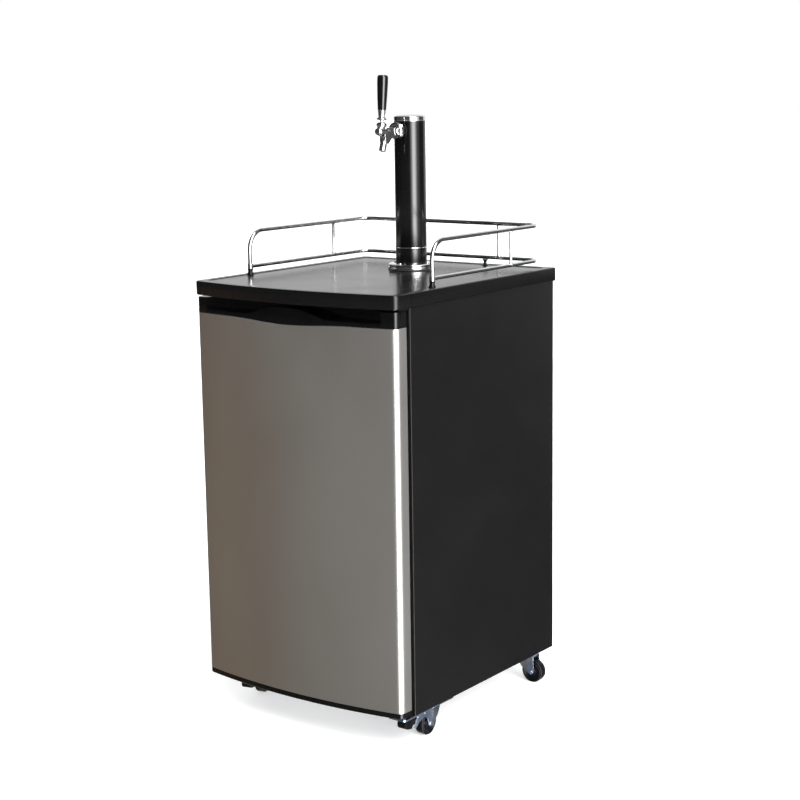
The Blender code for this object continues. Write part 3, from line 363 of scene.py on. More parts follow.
def piece(name, bm, slot, body, *nodes, bevel=0.0, sharp=34):
    """Makes a mesh into a piece that rides on a body, and lets it stand for CAD nodes."""
    bmesh.ops.remove_doubles(bm, verts=bm.verts, dist=1e-7)
    bmesh.ops.dissolve_degenerate(bm, edges=bm.edges, dist=1e-7)
    made = mesh_object(name, bm)
    mesh = made.data
    mesh.materials.append(finishes[slot])
    mesh.shade_smooth()
    mesh.set_sharp_from_angle(angle=math.radians(sharp))
    if bevel:
        edge = made.modifiers.new("edge", "BEVEL")
        edge.width = bevel
        edge.segments = 3
        edge.limit_method = "ANGLE"
        edge.angle_limit = math.radians(40)
        edge.harden_normals = True
    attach(made, body)
    if nodes:
        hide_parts(*nodes)
    return made


def turned(name, slot, body, profile, turn, *nodes, axis="Z", ease=4, steps=96):
    """A piece on a lathe, from a profile of (radius, height, corner radius)."""
    bm = bmesh.new()
    lathe(bm, rounded(profile, ease, closed=False), steps, turn, axis)
    return piece(name, bm, slot, body, *nodes)


def extruded(name, slot, body, outline, low, high, turn, *nodes, axis="Z", bevel=0.0):
    """A piece of one outline, from one end to the other."""
    bm = bmesh.new()
    prism(bm, outline, low, high, turn, axis)
    return piece(name, bm, slot, body, *nodes, bevel=bevel)


def apply_modifiers(obj):
    """Turns what an object's modifiers make into its mesh."""
    graph = bpy.context.evaluated_depsgraph_get()
    graph.update()
    made = bpy.data.meshes.new_from_object(obj.evaluated_get(graph))
    obj.modifiers.clear()
    obj.data = made


def carve(obj, *cutters, sharp=34):
    """Cuts meshes from a piece and keeps the result."""
    helpers = []
    for bm in cutters:
        helper = mesh_object("cutter", bm)
        helpers.append(helper)
        step = obj.modifiers.new("cut", "BOOLEAN")
        step.operation = "DIFFERENCE"
        step.solver = "EXACT"
        step.object = helper
    apply_modifiers(obj)
    for helper in helpers:
        bpy.data.objects.remove(helper)
    obj.data.shade_smooth()
    obj.data.set_sharp_from_angle(angle=math.radians(sharp))


def block(low, high, turn=None):
    """A box to cut with."""
    bm = bmesh.new()
    outline = [(low[0], low[1]), (high[0], low[1]), (high[0], high[1]), (low[0], high[1])]
    prism(bm, outline, low[2], high[2], turn)
    return bm


def bar(radius, low, high, turn, steps):
    """A round bar to cut with."""
    bm = bmesh.new()
    lathe(bm, [(0, low), (radius, low), (radius, high), (0, high)], steps, turn)
    return bm


def smooth_step(t):
    """Eases from 0 to 1."""
    t = min(max(t, 0), 1)
    return t * t * (3 - 2 * t)


# ---- Cabinet, worktop and door

CORNERS = ("front_left", "front_right", "rear_left", "rear_right")
BOW_STEPS = 64
SHELL_SHEET = 0.0015
CAVITY_HALF = 0.2175
LINE_HOLE = 0.0265  # radius of the beer line's hole, in the shell and in the tower's foot
WORKTOP_BOW = 0.028
FIELD_DROP = 0.0012
SEAM_Y = -0.2270
SEAM_HALF = 0.0010


def bowed(half_width, corner_y, bow, rear_y, radius, rear_radius):
    """A plan outline: rear left, rear right, then the bowed front from right to left."""
    inner = half_width - 1.35 * radius
    front = [(half_width, corner_y, radius)]
    for k in range(BOW_STEPS + 1):
        x = inner * (1 - 2 * k / BOW_STEPS)
        front.append((x, corner_y - bow * (1 - (x / half_width) ** 2), 0))
    front.append((-half_width, corner_y, radius))
    return rounded([(-half_width, rear_y, rear_radius), (half_width, rear_y, rear_radius), *front], 8)


def cabinet_shell():
    """The folded steel shell, with rolled edges and the openings of the CAD one."""
    low, high = span("cabinet_shell")
    sheet, past = SHELL_SHEET, 0.01
    outline = rounded([(low.x, low.y, 0.0022), (high.x, low.y, 0.0022), (high.x, high.y, 0.003),
                       (low.x, high.y, 0.003)], 5)
    shell = extruded("cabinet_shell_sheet", "black_painted_steel", "cabinet", outline, low.z, high.z, None,
                     "cabinet_shell")
    gasket_low, gasket_high = span("door_gasket")
    inside = block((low.x + sheet, low.y + sheet, low.z - past),
                   (high.x - sheet, high.y - sheet, high.z - sheet))
    mouth = block((-CAVITY_HALF, low.y - past, gasket_low.z + 0.017),
                  (CAVITY_HALF, low.y + past, gasket_high.z - 0.0035))
    cover_low, cover_high = span("rear_cover")
    hatch = block((cover_low.x + 0.015, high.y - past, cover_low.z + 0.007),
                  (cover_high.x - 0.015, high.y + past, cover_high.z - 0.020))
    column_low, column_high = span("tower_column")
    hole = bar(LINE_HOLE, high.z - 0.02, high.z + 0.02, shift(0, (column_low.y + column_high.y) / 2), 64)
    carve(shell, inside, mouth, hatch, hole)


def worktop():
    """The moulded top: a rounded lip, a raised border and a recessed field with its pads."""
    low, high = span("worktop")
    half, top = high.x, high.z
    corner = low.y + WORKTOP_BOW

    def outer(inset, z):
        return [(x, y, z) for x, y in bowed(half - inset, corner + inset, WORKTOP_BOW, high.y - inset,
                                           0.018 - inset, 0.006 - inset)]

    def field(inset, z):
        return [(x, y, z) for x, y in bowed(half - inset, corner + inset, WORKTOP_BOW * 0.8, high.y - inset,
                                           0.0125, 0.012)]

    rings = [outer(0.0030, low.z), outer(0.0012, low.z + 0.0004), outer(0.0003, low.z + 0.0015),
             outer(0, low.z + 0.003)]
    rings += [outer(0.0030 * (1 - math.cos(a)), top - 0.0030 * (1 - math.sin(a)))
              for a in (math.radians(15 * k) for k in range(7))]
    rings += [field(0.0185, top), field(0.0190, top - 0.0012), field(0.0202, top - 0.0022),
              field(0.0214, top - 0.0018), field(0.0220, top - FIELD_DROP)]
    bm = bmesh.new()
    loft(bm, rings)
    made = piece("worktop_moulding", bm, "black_worktop", "cabinet", "worktop")
    seams = [block((edge - SEAM_HALF, SEAM_Y - 0.0007, low.z - 0.01),
                   (edge + SEAM_HALF, SEAM_Y + 0.0007, top + 0.01)) for edge in (-half, half)]
    carve(made, *seams)
    pads = bmesh.new()
    nodes = ["tower_gasket"] + [f"rail_foot_{corner}" for corner in CORNERS]
    for node in nodes:
        node_low, node_high = span(node)
        centre = (node_low + node_high) / 2
        size = 0.0085 if node.startswith("rail") else (node_high.x - node_low.x) / 2 + 0.0015
        lathe(pads, [(0, top - 0.006), (size + 0.001, top - 0.006), (size + 0.001, top - FIELD_DROP),
                     (size, top - 0.0005), (size - 0.0006, top), (0, top)], 64, shift(centre.x, centre.y))
    piece("worktop_pads", pads, "black_worktop", "cabinet")


skin_low = span("door_skin")[0]
cap_low, cap_high = span("door_handle_cap")
trim_low, trim_high = span("door_bottom_trim")
DOOR_HALF = cap_high.x
DOOR_REAR = cap_high.y
DOOR_BOW = 0.025
DOOR_CORNER = cap_low.y + DOOR_BOW
DOOR_RADIUS = 0.014
SMILE_DROP = 0.006
SMILE_HALF = 0.150
CAP_EDGE = cap_low.z + SMILE_DROP
POCKET_HALF = 0.225
POCKET_FLOOR = 0.864
POCKET_BACK = -0.2575
LIP_HALF = 0.112
LIP_TOP = 0.8835


def door_plan(inset):
    """The door's front edge in plan, from its right rear corner round to the left one."""
    outline = bowed(DOOR_HALF - inset, DOOR_CORNER + inset, DOOR_BOW, DOOR_REAR, DOOR_RADIUS - inset, 0)
    return outline[1:] + outline[:1]


def smile(x):
    """The cap's lower edge, which dips at the middle of the door."""
    return CAP_EDGE - SMILE_DROP * smooth_step(1 - abs(x) / SMILE_HALF)


def lip(x):
    """The top of the grip, a hump in front of the finger pocket."""
    return POCKET_FLOOR + (LIP_TOP - POCKET_FLOOR) * smooth_step(1.25 * (1 - abs(x) / LIP_HALF))


def door_skin():
    """The stainless sheet: it wraps the bow and both edges, and is hemmed at top and bottom."""
    thick = 0.001
    hem = 0.0005
    rings = []
    for inset, rise in ((hem, 0.0), (0.0, hem)):
        ring = door_plan(inset) + list(reversed(door_plan(thick)))
        rings.append([(x, y, skin_low.z + rise) for x, y in ring])
    for inset, fall in ((0.0, hem), (hem, 0.0)):
        ring = door_plan(inset) + list(reversed(door_plan(thick)))
        rings.append([(x, y, smile(x) - GAP - fall) for x, y in ring])
    bm = bmesh.new()
    loft(bm, rings)
    piece("door_skin_sheet", bm, "brushed_stainless", "door", "door_skin")


def cap_section(x, front):
    """The cap's outline in Y and Z at one place across the door."""
    base = smile(x)
    top = cap_high.z
    pocket = abs(x) < POCKET_HALF
    crest = lip(x) if pocket else top
    bed = POCKET_FLOOR if pocket else top
    ease = 0.0016
    inner = front + 0.010
    back = max(POCKET_BACK, inner + 0.0005)
    outer_ease = min(ease, crest - base)
    inner_ease = min(ease, crest - bed)
    back_ease = min(ease, top - bed)
    quarter = [math.radians(22.5 * k) for k in range(5)]
    points = [(DOOR_REAR, base), (front + 0.0006, base), (front, base + 0.0006)]
    points += [(front + outer_ease * (1 - math.cos(a)), crest - outer_ease * (1 - math.sin(a)))
               for a in quarter]
    points += [(inner - inner_ease * (1 - math.sin(a)), crest - inner_ease * (1 - math.cos(a)))
               for a in quarter]
    points += [(inner, bed), (back, bed)]
    points += [(back + back_ease * (1 - math.cos(a)), top - back_ease * (1 - math.sin(a))) for a in quarter]
    points += [(DOOR_REAR, top)]
    return [(x, y, z) for y, z in points]


def door_cap():
    """The black moulding on top of the door, with a finger pocket behind its humped grip."""
    columns = door_plan(0)[1:-1]
    for x in (POCKET_HALF + 0.00005, POCKET_HALF - 0.00005):
        for side in (-1, 1):
            columns.append((side * x, DOOR_CORNER - DOOR_BOW * (1 - (x / DOOR_HALF) ** 2)))
    columns.sort()
    bm = bmesh.new()
    rows = [[bm.verts.new(point) for point in cap_section(x, y)] for x, y in columns]
    for first, second in zip(rows, rows[1:]):
        stitch(bm, first, second)
    for row in (rows[0], rows[-1]):
        bm.faces.new(row)
    piece("door_handle_moulding", bm, "black_gloss_plastic", "door", "door_handle_cap", sharp=28)


def door_trim():
    """The black end moulding under the stainless sheet, rounded below."""
    ease = 0.003
    bm = bmesh.new()
    rings = []
    for a in (math.radians(18 * k) for k in range(6)):
        inset = ease * (1 - math.sin(a))
        rings.append([(x, y, trim_low.z + ease * (1 - math.cos(a))) for x, y in door_plan(inset)])
    rings.append([(x, y, trim_high.z) for x, y in door_plan(0)])
    loft(bm, rings)
    piece("door_bottom_moulding", bm, "black_gloss_plastic", "door", "door_bottom_trim")


def door_gasket():
    """The magnetic seal: a hollow bellows with a groove round it."""
    low, high = span("door_gasket")
    depth = high.y - low.y
    width = 0.016
    section = [(0, 0), (0.35, 0), (0.42, 0.10), (0.50, 0), (1, 0), (1, 0.12), (0.82, 0.20), (0.95, 0.32),
               (0.95, 0.9), (0.85, 1.0), (0.15, 1.0), (0.05, 0.9), (0.05, 0.32), (0.18, 0.20), (0, 0.12)]
    corners = [(low.x, low.z), (high.x, low.z), (high.x, high.z), (low.x, high.z)]
    bm = bmesh.new()
    rings = []
    for k, (x, z) in enumerate(corners):
        sx, sz = (1 if x < 0 else -1), (1 if k < 2 else -1)
        rings.append([(x + sx * u * width, low.y + v * depth, z + sz * u * width) for u, v in section])
    rows = [[bm.verts.new(p) for p in ring] for ring in rings]
    for first, second in zip(rows, rows[1:] + rows[:1]):
        stitch(bm, first, second)
    piece("door_gasket_bellows", bm, "black_rubber", "door", "door_gasket", sharp=50)


# ---- Guard rail

LOWER_RAIL = 0.9365
RAIL_BEND = 0.040
SPINDLE_SIDE_Y = 0.1595
SPINDLE_BACK_X = 0.131


def guard_rail():
    """The chrome rail: two bent tubes, four spindles with their welds, and what they stand on."""
    low, high = span("guard_rail")
    tube, lower_tube, spindle = 0.0045, 0.0040, 0.0032  # radii
    half, front, rear = high.x - tube, low.y + tube, high.y - tube
    upper = high.z - tube
    lower = LOWER_RAIL
    corners = [(-half, rear, 0.030), (half, rear, 0.030)]
    plan = rounded([(-half, front, 0), *corners, (half, front, 0)], 14, closed=False)
    bend = arc((front + RAIL_BEND, upper - RAIL_BEND), RAIL_BEND, 180, 90, 14)
    left = [(-half, front, low.z)] + [(-half, y, z) for y, z in bend]
    right = [(-x, y, z) for x, y, z in reversed(left)]
    bm = bmesh.new()
    sweep(bm, left + [(x, y, upper) for x, y in plan[1:-1]] + right, tube)
    piece("guard_rail_upper", bm, "chrome", "cabinet", "guard_rail")
    bm = bmesh.new()
    sweep(bm, [(x, y, lower) for x, y in plan], lower_tube)
    piece("guard_rail_lower", bm, "chrome", "cabinet")
    start, end, weld = lower - lower_tube * 0.5, upper - tube * 0.5, lower + lower_tube
    profile = [(0, start, 0), (spindle + 0.0012, start + 0.0006, 0), (spindle + 0.0016, weld, 0),
               (spindle + 0.0004, weld + 0.0016, 0), (spindle, weld + 0.0030, 0), (spindle, end - 0.0040, 0),
               (spindle + 0.0008, end - 0.0014, 0), (0, end, 0)]
    spots = [(-half, SPINDLE_SIDE_Y), (half, SPINDLE_SIDE_Y), (-SPINDLE_BACK_X, rear), (SPINDLE_BACK_X, rear)]
    for number, spot in enumerate(spots, 1):
        turned(f"guard_rail_spindle_{number}", "chrome", "cabinet", profile, shift(*spot), steps=32)
    bead = [(tube, lower - 0.0062, 0), (tube + 0.0011, lower - 0.0058, 0), (tube + 0.0013, lower, 0),
            (tube + 0.0011, lower + 0.0058, 0), (tube, lower + 0.0062, 0)]
    turned("guard_rail_weld_left", "chrome", "cabinet", bead, shift(-half, front), steps=40)
    turned("guard_rail_weld_right", "chrome", "cabinet", bead, shift(half, front), steps=40)
    for corner in CORNERS:
        rail_foot(corner)


def rail_foot(corner):
    """A front post's ferrule, or the small foot under a rear corner."""
    node = f"rail_foot_{corner}"
    low, high = span(node)
    centre = (low + high) / 2
    radius = (high.x - low.x) / 2
    height = high.z - low.z
    if corner.startswith("front"):
        profile = [(0, 0, 0), (radius, 0, 0), (radius, 0.0024, 0.0008), (radius - 0.0018, 0.0040, 0.001),
                   (radius - 0.0018, height - 0.0030, 0.0008), (radius - 0.0008, height - 0.0012, 0.0006),
                   (radius - 0.0012, height, 0.0004), (0, height, 0)]
    else:
        profile = [(0, 0, 0), (0.0050, 0, 0), (0.0050, 0.0016, 0.0005), (0.0033, 0.0026, 0.0006),
                   (0.0033, height - 0.0040, 0.001), (radius, height - 0.0014, 0.0005),
                   (radius, height, 0.0004), (0, height, 0)]
    turn = shift(centre.x, centre.y, low.z)
    turned(f"{node}_moulding", "black_gloss_plastic", "cabinet", profile, turn, node, steps=48)


# ---- Tap tower

tower_low, tower_high = span("tower_column")
TOWER = Vector(((tower_low.x + tower_high.x) / 2, (tower_low.y + tower_high.y) / 2, 0))
DECK = span("worktop")[1].z
shank_low, shank_high = span("shank")
FAUCET_Z = (shank_low.z + shank_high.z) / 2


def tower_ring(name, slot, profile, node):
    """A turned piece of the tower; its heights are over the deck."""
    turned(name, slot, "cabinet", profile, shift(TOWER.x, TOWER.y, DECK), node, ease=5, steps=128)


def flange_screw(number):
    """A pan-head screw with a cross recess."""
    node = f"flange_screw_{number}"
    low, high = span(node)
    centre = (low + high) / 2
    top = high.z
    turn = shift(centre.x, centre.y)
    profile = [(0, top, 0), (0.0022, top - 0.0001, 0), (0.0038, top - 0.0009, 0.0006),
               (0.0044, top - 0.0022, 0.0003), (0.0044, top - 0.0030, 0.0002), (0.0022, top - 0.0030, 0),
               (0.0022, top - 0.016, 0.0002), (0, low.z, 0)]
    made = turned(f"{node}_pan_head", "chrome", "cabinet", profile, turn, node, ease=3, steps=48)
    cross = turn @ spin(20 + 35 * number)
    carve(made, *(block((-a, -b, top - 0.0013), (a, b, top + 0.001), cross)
                  for a, b in ((0.0024, 0.0005), (0.0005, 0.0024))))


def tower():
    """The column on its two-tier flange, from the gasket up to the cap."""
    outer = (tower_high.x - tower_low.x) / 2
    bore = outer - 0.0016
    line = LINE_HOLE
    flange_low, flange_high = span("tower_base_flange")
    foot = (flange_high.x - flange_low.x) / 2
    bottom, top, sleeve_top, band_top = 0.0021, 0.0126, 0.0444, 0.0484
    stub = flange_high.z - DECK
    gasket = [(line, GAP, 0), (foot + 0.0005, GAP, 0), (foot + 0.0005, bottom - GAP, 0.0004),
              (line, bottom - GAP, 0)]
    tower_ring("tower_gasket_ring", "black_rubber", gasket, "tower_gasket")
    flange = [(line, bottom, 0), (foot, bottom, 0), (foot, 0.0060, 0.0012), (foot - 0.0014, 0.0067, 0.0004),
              (foot - 0.0014, 0.0077, 0.0004), (foot, 0.0084, 0.0012), (foot, 0.0112, 0.0014),
              (foot - 0.0028, top, 0.0012), (bore - 0.0005, top, 0), (bore - 0.0005, stub, 0.0004),
              (line, stub, 0)]
    tower_ring("tower_flange", "chrome", flange, "tower_base_flange")
    for number in range(1, 5):
        flange_screw(number)
    sleeve = [(bore, top + GAP, 0), (outer, top + GAP, 0.0004), (outer, sleeve_top, 0.0003),
              (bore, sleeve_top, 0)]
    tower_ring("tower_sleeve", "tower_black", sleeve, "tower_lower_sleeve")
    band_low, band_high = sleeve_top + GAP, band_top - GAP
    band = [(bore - 0.0012, band_low, 0), (outer + 0.0002, band_low, 0),
            (outer + 0.0007, (band_low + band_high) / 2, 0.003), (outer + 0.0002, band_high, 0),
            (bore - 0.0012, band_high, 0)]
    tower_ring("tower_trim_band", "chrome", band, "tower_trim_ring")
    column_low, column_high = tower_low.z - DECK, tower_high.z - DECK
    column = [(bore, column_low, 0), (outer, column_low, 0.0004), (outer, column_high, 0.0003),
              (bore, column_high, 0)]
    tower_ring("tower_tube", "tower_black", column, "tower_column")
    crown = span("tower_cap")[1].z - DECK
    rim, skirt, seat, hem = outer + 0.0003, bore - 0.0004, column_high + GAP, column_high - 0.008
    cap = [(0, crown, 0), (rim - 0.017, crown - 0.0003, 0.010), (rim - 0.0075, crown - 0.0012, 0.010),
           (rim, crown - 0.0040, 0.0026), (rim, seat, 0.0005), (skirt, seat, 0), (skirt, hem, 0.0005),
           (skirt - 0.002, hem, 0), (skirt - 0.002, crown - 0.009, 0), (0, crown - 0.009, 0)]
    tower_ring("tower_cap_dome", "chrome", cap, "tower_cap")


# ---- Faucet

# Places are from the shank's axis: Y from the column's centre, Z up. Lever pieces are from its ball.
FAUCET = shift(TOWER.x, TOWER.y, FAUCET_Z)
PIVOT_Y = -0.099
PIVOT_Z = 0.014
LEVER_LEAN = -4
FRONT_Y = -0.1112
LEVER = FAUCET @ shift(0, PIVOT_Y, PIVOT_Z) @ spin(LEVER_LEAN, "X")
CUP = FAUCET @ shift(0, PIVOT_Y)
NUT_BACK = -0.0428
SPOUT_RADIUS = 0.0075
OUTLET_RADIUS = 0.0050
SKIN_VOXEL = 0.00045


def faucet_body():
    """The casting: its tail, barrel, lever cup, web and spout, blended into one skin."""
    bm = bmesh.new()
    barrel = [(0, -0.0482, 0), (0.0106, -0.0482, 0), (0.0106, -0.0505, 0.0003), (0.0092, -0.0505, 0),
              (0.0092, -0.0555, 0.001), (0.0070, -0.0605, 0.004), (0.0078, -0.0760, 0.02),
              (0.0090, -0.0890, 0.01), (0.0090, FRONT_Y + 0.0030, 0.002), (0.0078, FRONT_Y, 0.0005),
              (0, FRONT_Y, 0)]
    lathe(bm, rounded(barrel, 5, closed=False), 64, FAUCET, "Y")
    cup = [(0, -0.0070, 0), (0.0070, -0.0050, 0.002), (0.0080, 0.0070, 0.004), (0.0107, 0.0096, 0.001),
           (0.0107, 0.0112, 0.0003), (0, 0.0112, 0)]
    lathe(bm, rounded(cup, 5, closed=False), 64, CUP)
    web = rounded([(-0.0570, -0.0074, 0), (-0.0570, 0.0068, 0), (-0.0930, 0.0076, 0), (-0.0975, -0.0060, 0),
                   (-0.0955, -0.0230, 0), (-0.0858, -0.0262, 0), (-0.0742, -0.0150, 0.008)], 5)
    prism(bm, web, -0.0078, 0.0078, FAUCET, "X")
    top, tip = Vector((0, -0.0840, 0.0010)), Vector((0, -0.0984, -0.0408))
    line = tip - top
    turn = FAUCET @ shift(*top) @ aim(line)
    reach = line.length
    spout = [(0, 0, 0), (0.0072, 0, 0), (0.0072, 0.018, 0.02), (SPOUT_RADIUS, reach - 0.004, 0.004),
             (SPOUT_RADIUS, reach, 0.0006), (0, reach, 0)]
    lathe(bm, rounded(spout, 5, closed=False), 64, turn)
    body = piece("faucet_casting", bm, "chrome", "cabinet", "faucet_body", sharp=60)
    skin = body.modifiers.new("skin", "REMESH")
    skin.mode = "VOXEL"
    skin.voxel_size = SKIN_VOXEL
    ease = body.modifiers.new("ease", "SMOOTH")
    ease.factor = 0.5
    ease.iterations = 7
    apply_modifiers(body)
    carve(body, bar(OUTLET_RADIUS, 0.010, reach + 0.01, turn, 48), sharp=50)
    body.data.materials.clear()
    body.data.materials.append(finishes["chrome"])


def shank_parts():
    """The black collar on the shank, shaped to the column, and the slotted coupling nut."""
    bore = (shank_high.x - shank_low.x) / 2 + 0.0004
    collar = turned("shank_collar_tube", "black_gloss_plastic", "cabinet",
                    [(bore, -0.0425, 0), (0.0128, -0.0425, 0.0008), (0.0128, -0.0260, 0), (bore, -0.0260, 0)],
                    FAUCET, "shank_collar", axis="Y")
    column_radius = (tower_high.x - tower_low.x) / 2
    carve(collar, bar(column_radius + 0.0001, FAUCET_Z - 0.03, FAUCET_Z + 0.03, shift(TOWER.x, TOWER.y), 128))
    nut = turned("coupling_nut_ring", "chrome", "cabinet",
                 [(bore, NUT_BACK, 0), (0.0166, NUT_BACK, 0.0006), (0.0180, -0.0440, 0.0006),
                  (0.0180, -0.0526, 0.0010), (0.0156, -0.0552, 0.0012), (0.0098, -0.0552, 0.0003),
                  (0.0098, -0.0512, 0), (bore, -0.0512, 0)], FAUCET, "coupling_nut", axis="Y")
    notches = []
    for k in range(6):
        angle = math.radians(30 + 60 * k)
        out = Vector((math.cos(angle), 0, math.sin(angle)))
        notches.append(bar(0.0024, 0.0158, 0.022, FAUCET @ shift(0, -0.0485) @ aim(out), 24))
    carve(nut, *notches)


def faucet():
    """The body with its plug and bonnet, and the lever with everything it carries."""
    faucet_body()
    turned("faucet_plug_button", "chrome", "cabinet",
           [(0, FRONT_Y - 0.0040, 0), (0.0052, FRONT_Y - 0.0038, 0.003), (0.0071, FRONT_Y - 0.0026, 0.001),
            (0.0071, FRONT_Y - GAP, 0.0002), (0.0040, FRONT_Y - GAP, 0), (0, FRONT_Y - GAP, 0)],
           FAUCET, "faucet_front_plug", axis="Y")
    bonnet = turned("faucet_bonnet_ring", "chrome", "cabinet",
                    [(0.0074, 0.0115, 0), (0.0108, 0.0115, 0.0004), (0.0112, 0.0125, 0.0005),
                     (0.0112, 0.0164, 0.0016), (0.0080, 0.0190, 0.0008), (0.0064, 0.0190, 0.0003),
                     (0.0064, 0.0168, 0), (0.0074, 0.0140, 0)], CUP, "faucet_bonnet")
    cuts = []
    for k in range(6):
        turn = shift(0, 0, 0.0117) @ CUP @ spin(60 * k + 10) @ spin(90, "Y")
        cuts.append(bar(0.0013, 0.0095, 0.013, turn, 20))
    carve(bonnet, *cuts)
    ball = [(*point, 0) for point in arc((0, 0), 0.0062, -70, 70, 14)]
    tip = [(*point, 0) for point in arc((0, -PIVOT_Z), 0.0022, -75, 60, 9)]
    pin = [(0, -PIVOT_Z - 0.0022, 0), *tip, (0.0016, -0.0108, 0), (0.0020, -0.0066, 0), *ball,
           (0.0032, 0.0066, 0), (0.0032, 0.0084, 0), (0.0046, 0.0094, 0), (0.0046, 0.0290, 0), (0, 0.0290, 0)]
    turned("faucet_lever_pin", "chrome", "lever", pin, LEVER, "faucet_lever")
    collar = [(0.0050, 0.0098, 0), (0.0057, 0.0086, 0.0003), (0.0096, 0.0100, 0.0010),
              (0.0101, 0.0126, 0.0012), (0.0084, 0.0148, 0.0008), (0.0050, 0.0148, 0)]
    turned("lever_collar_ring", "chrome", "lever", collar, LEVER, "lever_collar")
    ferrule = [(0.0050, 0.0151, 0), (0.0068, 0.0151, 0.0004), (0.0070, 0.0166, 0.004),
               (0.0083, 0.0284, 0.0006), (0.0083, 0.0297, 0.0003), (0.0050, 0.0297, 0)]
    turned("handle_ferrule_cone", "chrome", "lever", ferrule, LEVER, "handle_ferrule")
    grip = [(0, 0.0300, 0), (0.0088, 0.0300, 0.0004), (0.0104, 0.0564, 0.10), (0.0115, 0.0850, 0.03),
            (0.0115, 0.0975, 0.004), (0.0098, 0.1015, 0.0022), (0, 0.1022, 0)]
    turned("tap_handle_grip", "handle_black", "lever", grip, LEVER, "tap_handle", ease=8)


# ---- Casters

# Places are from a caster's swivel axis: X across the fork, Y to its rear, Z from the floor.
JOINTS = {joint["name"]: joint for joint in frame["record"]["behaviour"]["joints"]}
TRAIL = 0.022
AXLE_Z = 0.0255
WHEEL_RADIUS = 0.02549  # a hair under the axle's height, so the wheel stays over the floor
WHEEL_HALF = 0.010
FORK_TOP = 0.0615
FORK_OUT = 0.0136
FORK_SHEET = 0.0018
CREASE = -0.016
FORK_REAR = 0.0190
PLATE_SHEET = 0.0022
FLANGE_STEPS = 16
PEDAL_HALF = 0.0108


def swivel_frame(corner):
    """The place and heading of a caster at rest."""
    x, y = JOINTS[f"swivel_{corner}"]["pos_m"][:2]
    axis = JOINTS[f"roll_{corner}"]["axis"]
    return shift(x, y) @ Matrix.Rotation(math.atan2(axis[1], axis[0]), 4, "Z")


def cheek_outline(braked):
    """The flat part of a fork's cheek, ahead of its crease."""
    boss = arc((-TRAIL, WHEEL_RADIUS), 0.0068, -150, -28, 12)
    top = FORK_TOP - 0.0004
    start = [*boss, (CREASE, 0.0235), (CREASE, top)]
    corners = [(-0.0480, top, 0), (-0.0695, 0.0535, 0.006), (-0.0782, 0.0310, 0.0012),
               (-0.0715, 0.0302, 0.0008), (-0.0640, 0.0385, 0.008), (-0.0436, 0.0450, 0.010),
               (-0.0330, 0.0385, 0.006), (-0.0290, 0.0262, 0)]
    if not braked:
        corners = [(-0.0286, top, 0), (-0.0290, 0.0420, 0.006), (-0.0286, 0.0270, 0)]
    return start + rounded(corners, 5, closed=False)


def flange_line(y):
    """The lower edge of a cheek's curved rear flange."""
    points = [(CREASE, 0.0212), (-0.0085, 0.0252), (0.0045, 0.0352), (0.0160, 0.0487), (FORK_REAR, 0.0600)]
    for (y0, z0), (y1, z1) in zip(points, points[1:]):
        if y <= y1:
            return z0 + (z1 - z0) * (y - y0) / (y1 - y0)
    return points[-1][1]


def cheek_flange(name, body, side, turn):
    """The curved rear flange of a cheek, which tucks in towards its end."""
    rings = []
    for k in range(FLANGE_STEPS + 1):
        y = CREASE + (FORK_REAR - CREASE) * k / FLANGE_STEPS
        tuck = 0.0050 * (k / FLANGE_STEPS) ** 2
        out, inner = side * (FORK_OUT - tuck), side * (FORK_OUT - FORK_SHEET - tuck)
        low, high = flange_line(y), FORK_TOP - 0.0004
        rings.append([turn @ Vector(p) for p in ((out, y, low), (out, y, high), (inner, y, high),
                                                 (inner, y, low))])
    bm = bmesh.new()
    loft(bm, rings)
    piece(name, bm, "zinc_steel", body)


def axle_bolt(name, body, turn):
    """The axle with a hexagon on each end."""
    axle = turn @ shift(0, -TRAIL, WHEEL_RADIUS)
    reach = FORK_OUT + 0.0018
    hexagon = arc((0, 0), 0.0046, 12, 312, 5)
    bm = bmesh.new()
    lathe(bm, [(0, -reach), (0.0030, -reach), (0.0030, reach), (0, reach)], 32, axle, "X")
    for side in (-1, 1):
        prism(bm, hexagon, side * FORK_OUT, side * (FORK_OUT + 0.0014), axle, "X")
    piece(name, bm, "zinc_steel", body, bevel=0.0002)


def rivets(name, body, turn):
    """The four rivets that hold the brake's arm in its fork."""
    dome = [(0, -0.0002), (0.0023, -0.0002), (0.0023, 0), (0.0022, 0.0004), (0.0016, 0.0008),
            (0.0008, 0.0010), (0, 0.0011)]
    bm = bmesh.new()
    for side in (-1, 1):
        for y, z in ((-0.0650, 0.0525), (-0.0415, 0.0530)):
            at = turn @ shift(side * FORK_OUT, y, z)
            lathe(bm, dome, 24, at @ spin(0 if side > 0 else 180), "X")
    piece(name, bm, "zinc_steel", body)


